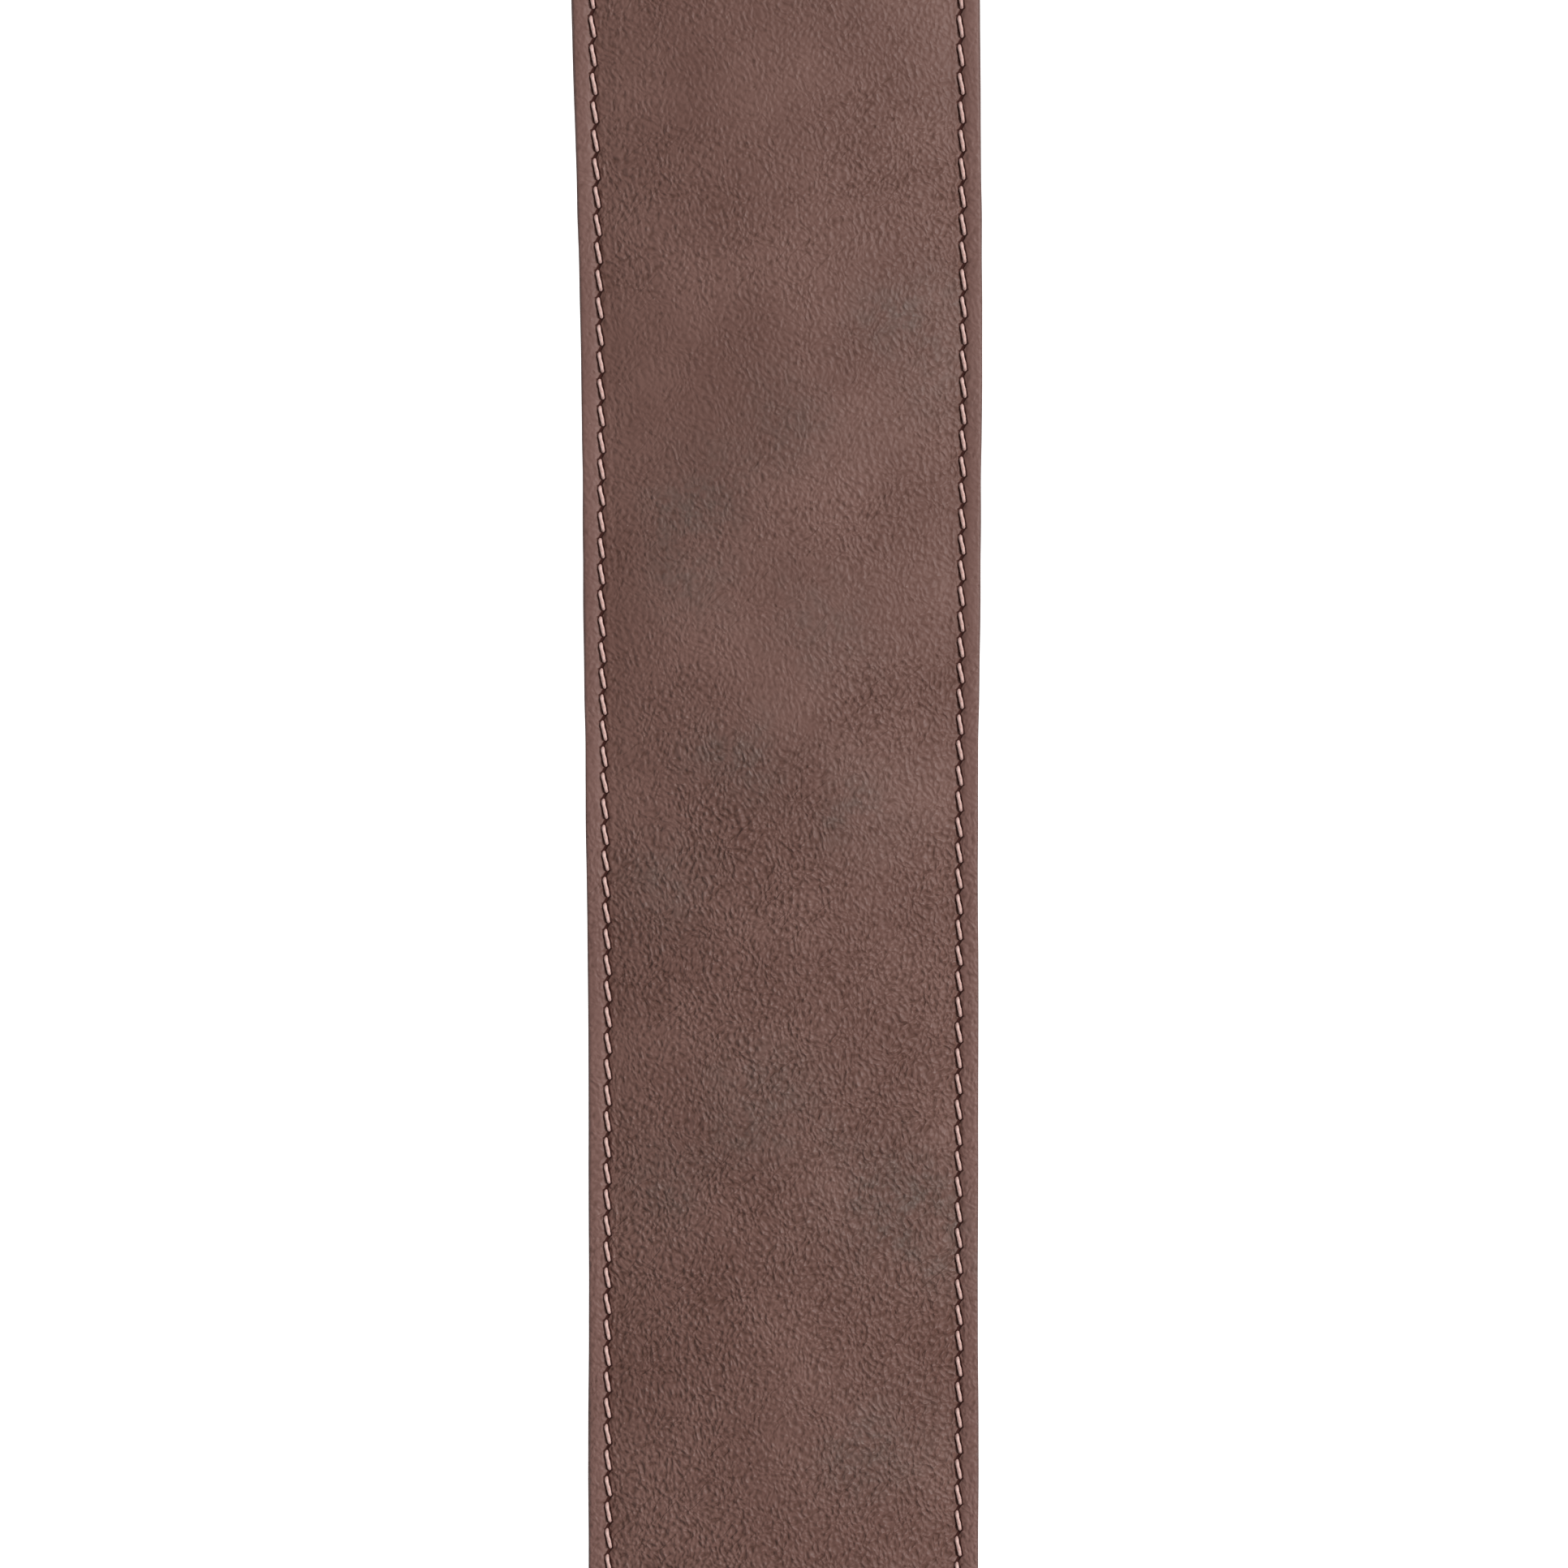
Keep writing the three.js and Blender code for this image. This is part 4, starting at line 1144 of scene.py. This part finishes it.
def make_rear_tab():
    waist = REAR_STEP - 6
    centre = REAR_TIP + TAB_HALF

    def outline(y):
        wide = WEBBING_HALF + (TAB_HALF - WEBBING_HALF) * smoothstep(-y, -waist, 24 - waist)
        return tab_half(centre - y, wide)

    def inset(x, y):
        return np.minimum(tab_inset(x, centre - y, outline(y)), REAR_TAB - y)

    def stepped(y):
        """Underside of the front layer: over the webbing, then down on the back layer."""
        return TAB_LAYER + 0.05 + (WEBBING_THICK + 0.05) * smoothstep(y, REAR_STEP - 6, REAR_STEP)

    def worn(x, y):
        return 0.2 * hole_wear(x, y, centre, 1, 0.7)

    def groove(x, y):
        return 0.22 * bell(inset(x, y) - SEAM_INSET, 0.5)

    def front_top(x, y):
        soft = 0.04 * lumps(x, y, 9, 81)
        return stepped(y) + TAB_LAYER + soft - groove(x, y) - worn(x, y) - rounded_edge(inset(x, y), 0.5)

    def front_low(x, y):
        return stepped(y) + 0 * x

    def back_top(x, y):
        return TAB_LAYER + 0 * x

    def back_low(x, y):
        return 0.03 + groove(x, y) * 2 + worn(x, y) + rounded_edge(inset(x, y), 0.5)

    rows = tip_rows(REAR_TAB - 0.6, REAR_TIP, -1, 26)
    rows = np.concatenate([rows, [REAR_TAB - 0.3, REAR_TAB - 0.12, REAR_TAB]])
    step = np.arange(REAR_STEP - 6, REAR_STEP + 0.2, 0.4)
    rows = np.unique(np.round(np.concatenate([rows, step]), 2))
    near = lambda x, y: np.minimum(inset(x, y), hole_distance(x, y, centre, 1))
    insets = [0, 0.2, 0.5, 0.9, 1.6, *np.arange(2.2, 5.6, 0.35), *np.linspace(6.2, 24.5, 20)]
    columns = mirrored(insets, WEBBING_HALF)
    for name, top, low, node in (("rear_tab_face", front_top, front_low, "rear_tab_front"),
                                 ("rear_tab_lining", back_top, back_low, "rear_tab_back")):
        layer = flat_sheet(name, rows, outline, columns, columns, top, low)
        cut_away(layer, keyhole(centre, 1, -2, 9))
        paint(layer, "edge", near)
        keep(layer, "rear_tab", "tab_leather", node)
        declare_sheet(layer, 2 * WEBBING_HALF, REAR_TAB - REAR_TIP, "stretched", "webbing_end")

    right = [(float(outline(y)) - SEAM_INSET, y) for y in np.linspace(REAR_TAB - SEAM_INSET, centre, 40)]
    radius = TAB_HALF - SEAM_INSET
    tip = [(radius * math.cos(a), centre - radius * math.sin(a)) for a in np.linspace(0, math.pi, 24)[1:-1]]
    left = [(-x, y) for x, y in right[::-1]]
    row = path_row("rear_tab_stitches", right + tip + left, 3.9, lambda x, y: front_top(x, y) + 0.15, 0.14)
    keep(row, "rear_tab", "back_thread", "rear_tab_thread")


def make_keeper():
    """A strip folded round the ring's bar, with both ends sewn between the panel's layers."""
    ply = (CORE_HIGH - CORE_LOW) / 4
    root = PANEL_REAR + ROOT_LENGTH
    low, high = CORE_LOW + ply, CORE_HIGH - ply
    turn = 2 + 0.35 + ply
    lead = spline([(root, low), (PANEL_REAR + 8, low), (PANEL_REAR, low), (PANEL_REAR - 4, low - 0.5),
                   (KEEPER_BAR + 1.6, RING_Z - turn + 0.1)], 8)
    bend = arc(KEEPER_BAR, RING_Z, turn, 262, 84, 24)
    back = spline([(KEEPER_BAR + 2.6, RING_Z + turn - 0.45), (PANEL_REAR - 3, high + 1.0),
                   (PANEL_REAR + 1, high), (PANEL_REAR + 8, high), (root, high)], 8)
    route = respaced(np.vstack([lead, bend, back]), 0.55)
    edge = lambda x: np.maximum(ply - rounded_edge(KEEPER_HALF - np.abs(x), 0.45), 0.12)
    columns = mirrored([0, 0.1, 0.25, 0.45, 0.9, 1.6, 2.4, *np.linspace(3.4, 21.2, 14)], KEEPER_HALF)
    # The route runs in -y first, so the strip's own face is its outside.
    strip = ribbon("ring_strip", route, KEEPER_HALF, edge, columns)
    paint(strip, "edge", lambda x, y: KEEPER_HALF - np.abs(x))
    keep(strip, "main_strap", "keeper_leather", "ring_keeper")
    declare_sheet(strip, 2 * KEEPER_HALF, steps_of(route).sum(), "folded", "wire_ring")


# ---- metal


def make_rivets():
    high, shoulder = PAD_TOP + 0.02, RIVET_CAP - 0.35
    cap = [(0, high - 0.6), (RIVET_CAP - 0.5, high - 0.55), (RIVET_CAP - 0.12, high - 0.3),
           (RIVET_CAP, high + 0.1), (RIVET_CAP - 0.08, high + 0.45), (shoulder, high + 0.72)]
    cap += [(shoulder * math.cos(a), high + 0.72 + 1.2 * math.sin(a))
            for a in np.linspace(0.12, math.pi / 2, 14)[:-1]]
    cap.append((0, high + 1.92))
    back = [(0, 0.18), (0.5, 0.16), (0.9, 0.06), (3.7, 0.1), (4.1, 0.22), (4.2, 0.42), (4.05, 0.6),
            (3.6, 0.66), (0, 0.66)]
    for side, place in RIVETS.items():
        for part, profile, node in (("dome", cap, "cap"), ("washer", back, "back")):
            made = turned(f"rivet_{side}_{part}", profile, place)
            keep(made, "main_strap", "rivet_metal", f"rivet_{side}_{node}")


def rounded_box(half_x, half_y, corner, middle_y, steps):
    """The outline of a box with rounded corners, as (x, y) points."""
    points = []
    for sx, sy, start in ((1, -1, -90), (1, 1, 0), (-1, 1, 90), (-1, -1, 180)):
        for a in np.radians(np.linspace(start, start + 90, steps)):
            points.append((sx * (half_x - corner) + corner * math.cos(a),
                           middle_y + sy * (half_y - corner) + corner * math.sin(a)))
    return points


def make_ring():
    """Round wire bent to a rectangle, with the bead of its weld on the bar that holds the webbing."""
    low, high = box_mm("ring")
    wire = (high[2] - low[2]) / 2
    half_x, half_y = high[0] - wire, (high[1] - low[1]) / 2 - wire
    middle = (high[1] + low[1]) / 2
    path = np.array([(x, y, RING_Z) for x, y in rounded_box(half_x, half_y, 4.0, middle, 14)])
    dense = []
    for a, b in zip(path, np.roll(path, -1, 0)):
        count = max(1, round(np.linalg.norm(b - a) / 0.8))
        dense += [a + (b - a) * t for t in np.linspace(0, 1, count, endpoint=False)]
    dense = np.array(dense)
    on_bar = dense[:, 1] < middle - half_y + 0.5
    bead = 0.12 * bell(dense[:, 0] - 17, 0.9) * on_bar
    made = tube("wire_ring", [dense], wire + bead, 28, closed=True)
    keep(made, "ring", "ring_metal", "ring")


def make_slider():
    """A stamped three-bar slide with well rounded edges."""
    half_x, half_y, half_z = (SLIDER_HIGH - SLIDER_LOW) / 2
    bar, round_off = 4.0, 0.95
    slot_half = (half_y - 1.5 * bar) / 2
    curve = bpy.data.curves.new("slide_plate", "CURVE")
    curve.dimensions = "2D"
    curve.fill_mode = "BOTH"
    curve.bevel_depth = round_off * MM
    curve.offset = -round_off * MM
    curve.bevel_resolution = 5
    curve.extrude = (half_z - round_off) * MM
    loops = [rounded_box(half_x, half_y, 4.0, 0, 10)]
    loops += [rounded_box(half_x - bar, slot_half, 1.2, s * (bar / 2 + slot_half), 6) for s in (-1, 1)]
    for loop in loops:
        outline = curve.splines.new("POLY")
        outline.points.add(len(loop) - 1)
        outline.use_cyclic_u = True
        for point, (x, y) in zip(outline.points, loop):
            point.co = (x * MM, y * MM, 0, 1)
    drawn = bpy.data.objects.new("slide_drawn", curve)
    mesh = bpy.data.meshes.new_from_object(drawn)
    bpy.data.objects.remove(drawn)
    mesh.transform(Matrix.Translation(Vector((0, SLIDER_Y, MIDDLE_Z)) * MM))
    smoothed(mesh, 40)
    keep(added("slide_plate", mesh), "slider", "slider_metal", "slider")


# ---- webbing

TURN_RADIUS = 3.0
LOW_Z = RING_Z - TURN_RADIUS
HIGH_Z = RING_Z + TURN_RADIUS
UNDER_BARS = 3.7
RETURN_Z = 2.3
TAIL_Z = 0.85
REAR_TAB_Z = TAB_LAYER + 0.05 + WEBBING_THICK / 2
WRAP_RADIUS = 2.25
WRAP_OFFSET = 1.2
BRIDGE_RADIUS = 3.65
LEG_MEETS = 10.2  # from the slider's middle, where the legs meet what the slider carries
ANCHOR_MEETS = 13.0


def half_thick(x):
    """Half the webbing's thickness: lengthwise ribs between two rolled edges."""
    rib = 0.07 * np.cos(2 * np.pi * x / RIB_PITCH)
    edge = rounded_edge(WEBBING_HALF - np.abs(x), 0.5)
    selvedge = 0.05 * bell(WEBBING_HALF - np.abs(x) - 1.0, 0.5)
    return np.maximum(WEBBING_THICK / 2 - 0.08 + rib + selvedge - edge, 0.1)


def webbing_columns():
    inner = np.arange(-11.5 * RIB_PITCH, 11.5 * RIB_PITCH + 0.01, RIB_PITCH / 4) / WEBBING_HALF
    rim = 1 - np.array([0, 0.1, 0.25, 0.5, 0.9]) / WEBBING_HALF
    return np.concatenate([-rim, inner, rim[::-1]])


def make_web(name, route, step, body, held, rests_on, *nodes):
    """A length of webbing along a side-view route."""
    route = respaced(np.asarray(route, float), step)
    made = ribbon(name, route, WEBBING_HALF, half_thick, webbing_columns())
    keep(made, body, "webbing", *nodes)
    declare_sheet(made, 2 * WEBBING_HALF, steps_of(route).sum(), held, *rests_on)


def make_loop():
    """The turn round the ring and the two legs that run from it to the slider."""
    s = SLIDER_Y
    near = LOOP_BAR - 2.0  # where the straight legs leave the turn round the ring
    turn = np.vstack([[(near, HIGH_Z)], arc(LOOP_BAR, RING_Z, TURN_RADIUS, 90, -90, 26), [(near, LOW_Z)]])
    make_web("web_turn", turn, 0.5, "web_loop", "folded", ["wire_ring"], "webbing_turn")

    running = spline([(s + LEG_MEETS, UNDER_BARS), (s + 17, UNDER_BARS), (s + 28, UNDER_BARS),
                      (s + 44, UNDER_BARS + 0.15), (s + 72, HIGH_Z - 0.9), (LOOP_BAR - 14, HIGH_Z),
                      (near, HIGH_Z)], 10)
    anchor = [(near, LOW_Z), (s + ANCHOR_MEETS, LOW_Z)]
    for leg, route, meets in (("running", running[::-1], LEG_MEETS), ("anchor", anchor, ANCHOR_MEETS)):
        make_web(f"web_{leg}_leg", route, 1.2, ("web_loop", "slider", near, s + meets), "stretched",
                 ["wire_ring", "slide_plate"], f"webbing_{leg}_leg")


def make_wraps():
    """What the slider carries: the webbing over its middle bar, and the end that is sewn round it."""
    crown = arc(WRAP_OFFSET, MIDDLE_Z, BRIDGE_RADIUS, 90, 38, 10)
    down = spline([(4.08, 8.05), (6.7, 5.35), (8.3, 4.15), (LEG_MEETS, UNDER_BARS)], 8)
    half_bridge = np.vstack([crown, down[2:]])
    bridge = np.vstack([half_bridge[::-1] * [-1, 1], half_bridge[1:]])
    make_web("web_bridge", (bridge + [SLIDER_Y, 0])[::-1], 0.45, "slider", "folded", ["slide_plate"],
             "webbing_bridge")

    lead = spline([(ANCHOR_MEETS, LOW_Z), (9.4, LOW_Z), (6.4, 1.6), (4.3, 2.75), (2.4, 3.42), (0.4, 3.56)], 8)
    wrap = arc(-WRAP_OFFSET, MIDDLE_Z, WRAP_RADIUS, 268, 90, 22)
    over = arc(WRAP_OFFSET, MIDDLE_Z, WRAP_RADIUS, 90, 38, 8)
    end = spline([(3.2, 6.95), (5.2, 4.75), (7.1, 3.05), (9.6, RETURN_Z), (16, RETURN_Z), (36, RETURN_Z)], 8)
    fold = np.vstack([lead[:-6], wrap, over, end[3:]])
    make_web("web_anchor_fold", fold + [SLIDER_Y, 0], 0.45, "slider", "folded", ["slide_plate"],
             "webbing_anchor_fold")


def make_tail():
    """From the slider to the rear tab, and between the tab's two layers."""
    s = SLIDER_Y
    tail = spline([(s - LEG_MEETS, UNDER_BARS), (s - 17, UNDER_BARS), (s - 24, UNDER_BARS - 0.5),
                   (s - 44, TAIL_Z + 0.1), (s - 60, TAIL_Z), (s - 90, TAIL_Z), (TAIL_END, TAIL_Z)], 10)
    make_web("web_tail", tail, 1.2, ("slider", "tail", s - LEG_MEETS, TAIL_END), "stretched", ["floor"],
             "webbing_tail")
    stub = spline([(TAIL_END, TAIL_Z), (TAIL_END - 5, TAIL_Z + 0.1), (STUB_END + 5, REAR_TAB_Z - 0.1),
                   (STUB_END, REAR_TAB_Z), (REAR_TAB, REAR_TAB_Z), (REAR_TAB - 8, REAR_TAB_Z),
                   (REAR_STEP, REAR_TAB_Z)], 12)
    make_web("webbing_end", stub, 0.5, ("tail", "rear_tab", STUB_END, REAR_TAB), "stretched",
             ["rear_tab_lining"], "webbing_tail_stub", "webbing_tab_end")


# ---- camera, light and floor

VIEW_MIDDLE = 126.0  # y of the stretch of panel that the camera looks at
VIEW_HEIGHT = 249.7  # how much of the panel it sees
LENS, SENSOR = 85.0, 36.0
FLOOR_DROP = 0.45  # the floor is this far below, clear of every part that a joint swings down


def make_camera():
    data = bpy.data.cameras.new("camera")
    data.lens = LENS
    data.sensor_width = SENSOR
    camera = added("camera", data)
    camera.location = (0, VIEW_MIDDLE * MM, (PAD_TOP + VIEW_HEIGHT * LENS / SENSOR) * MM)
    bpy.context.scene.camera = camera


def make_sun(name, direction, strength, softness):
    data = bpy.data.lights.new(name, "SUN")
    data.energy = strength
    data.angle = math.radians(softness)
    sun = added(name, data)
    sun.location = direction
    sun.rotation_euler = (-Vector(direction)).to_track_quat("-Z", "Y").to_euler()


def make_floor():
    """A plain white sweep, lit so that it reads as white paper. It shows from above only."""
    s = Shader("white_paper", Base_Color=(0.82, 0.82, 0.82, 1), Roughness=0.9,
               Emission_Color=(1, 1, 1, 1), Emission_Strength=0.62)
    mix = s.node("ShaderNodeMixShader")
    sources = (s.node("ShaderNodeNewGeometry").outputs["Backfacing"], s.surface.outputs[0],
               s.node("ShaderNodeBsdfTransparent").outputs[0])
    for socket, source in zip(mix.inputs, sources):
        s.put(socket, source)
    s.put(s.tree.nodes["Material Output"].inputs["Surface"], mix.outputs[0])
    size = 8.0 / MM
    corners = [(sx * size, sy * size, -FLOOR_DROP / MM) for sx, sy in ((-1, -1), (1, -1), (1, 1), (-1, 1))]
    floor = new_mesh("floor", corners, [(0, 1, 2, 3)])
    floor.data.materials.append(s.material)


def make_studio():
    make_camera()
    make_floor()
    make_sun("key", (0.67, 0.24, 0.62), 2.35, 12)
    world = bpy.data.worlds.new("studio")
    world.use_nodes = True
    world.node_tree.nodes["Background"].inputs[0].default_value = (1, 1, 1, 1)
    world.node_tree.nodes["Background"].inputs[1].default_value = 0.45
    bpy.context.scene.world = world
    bpy.context.scene.view_settings.view_transform = "Standard"


# ---- the strap

make_studio()
make_face()
make_foam()
make_backing()
make_seams()
make_front_tab()
make_keeper()
make_rivets()
make_ring()
make_slider()
make_loop()
make_wraps()
make_tail()
make_rear_tab()
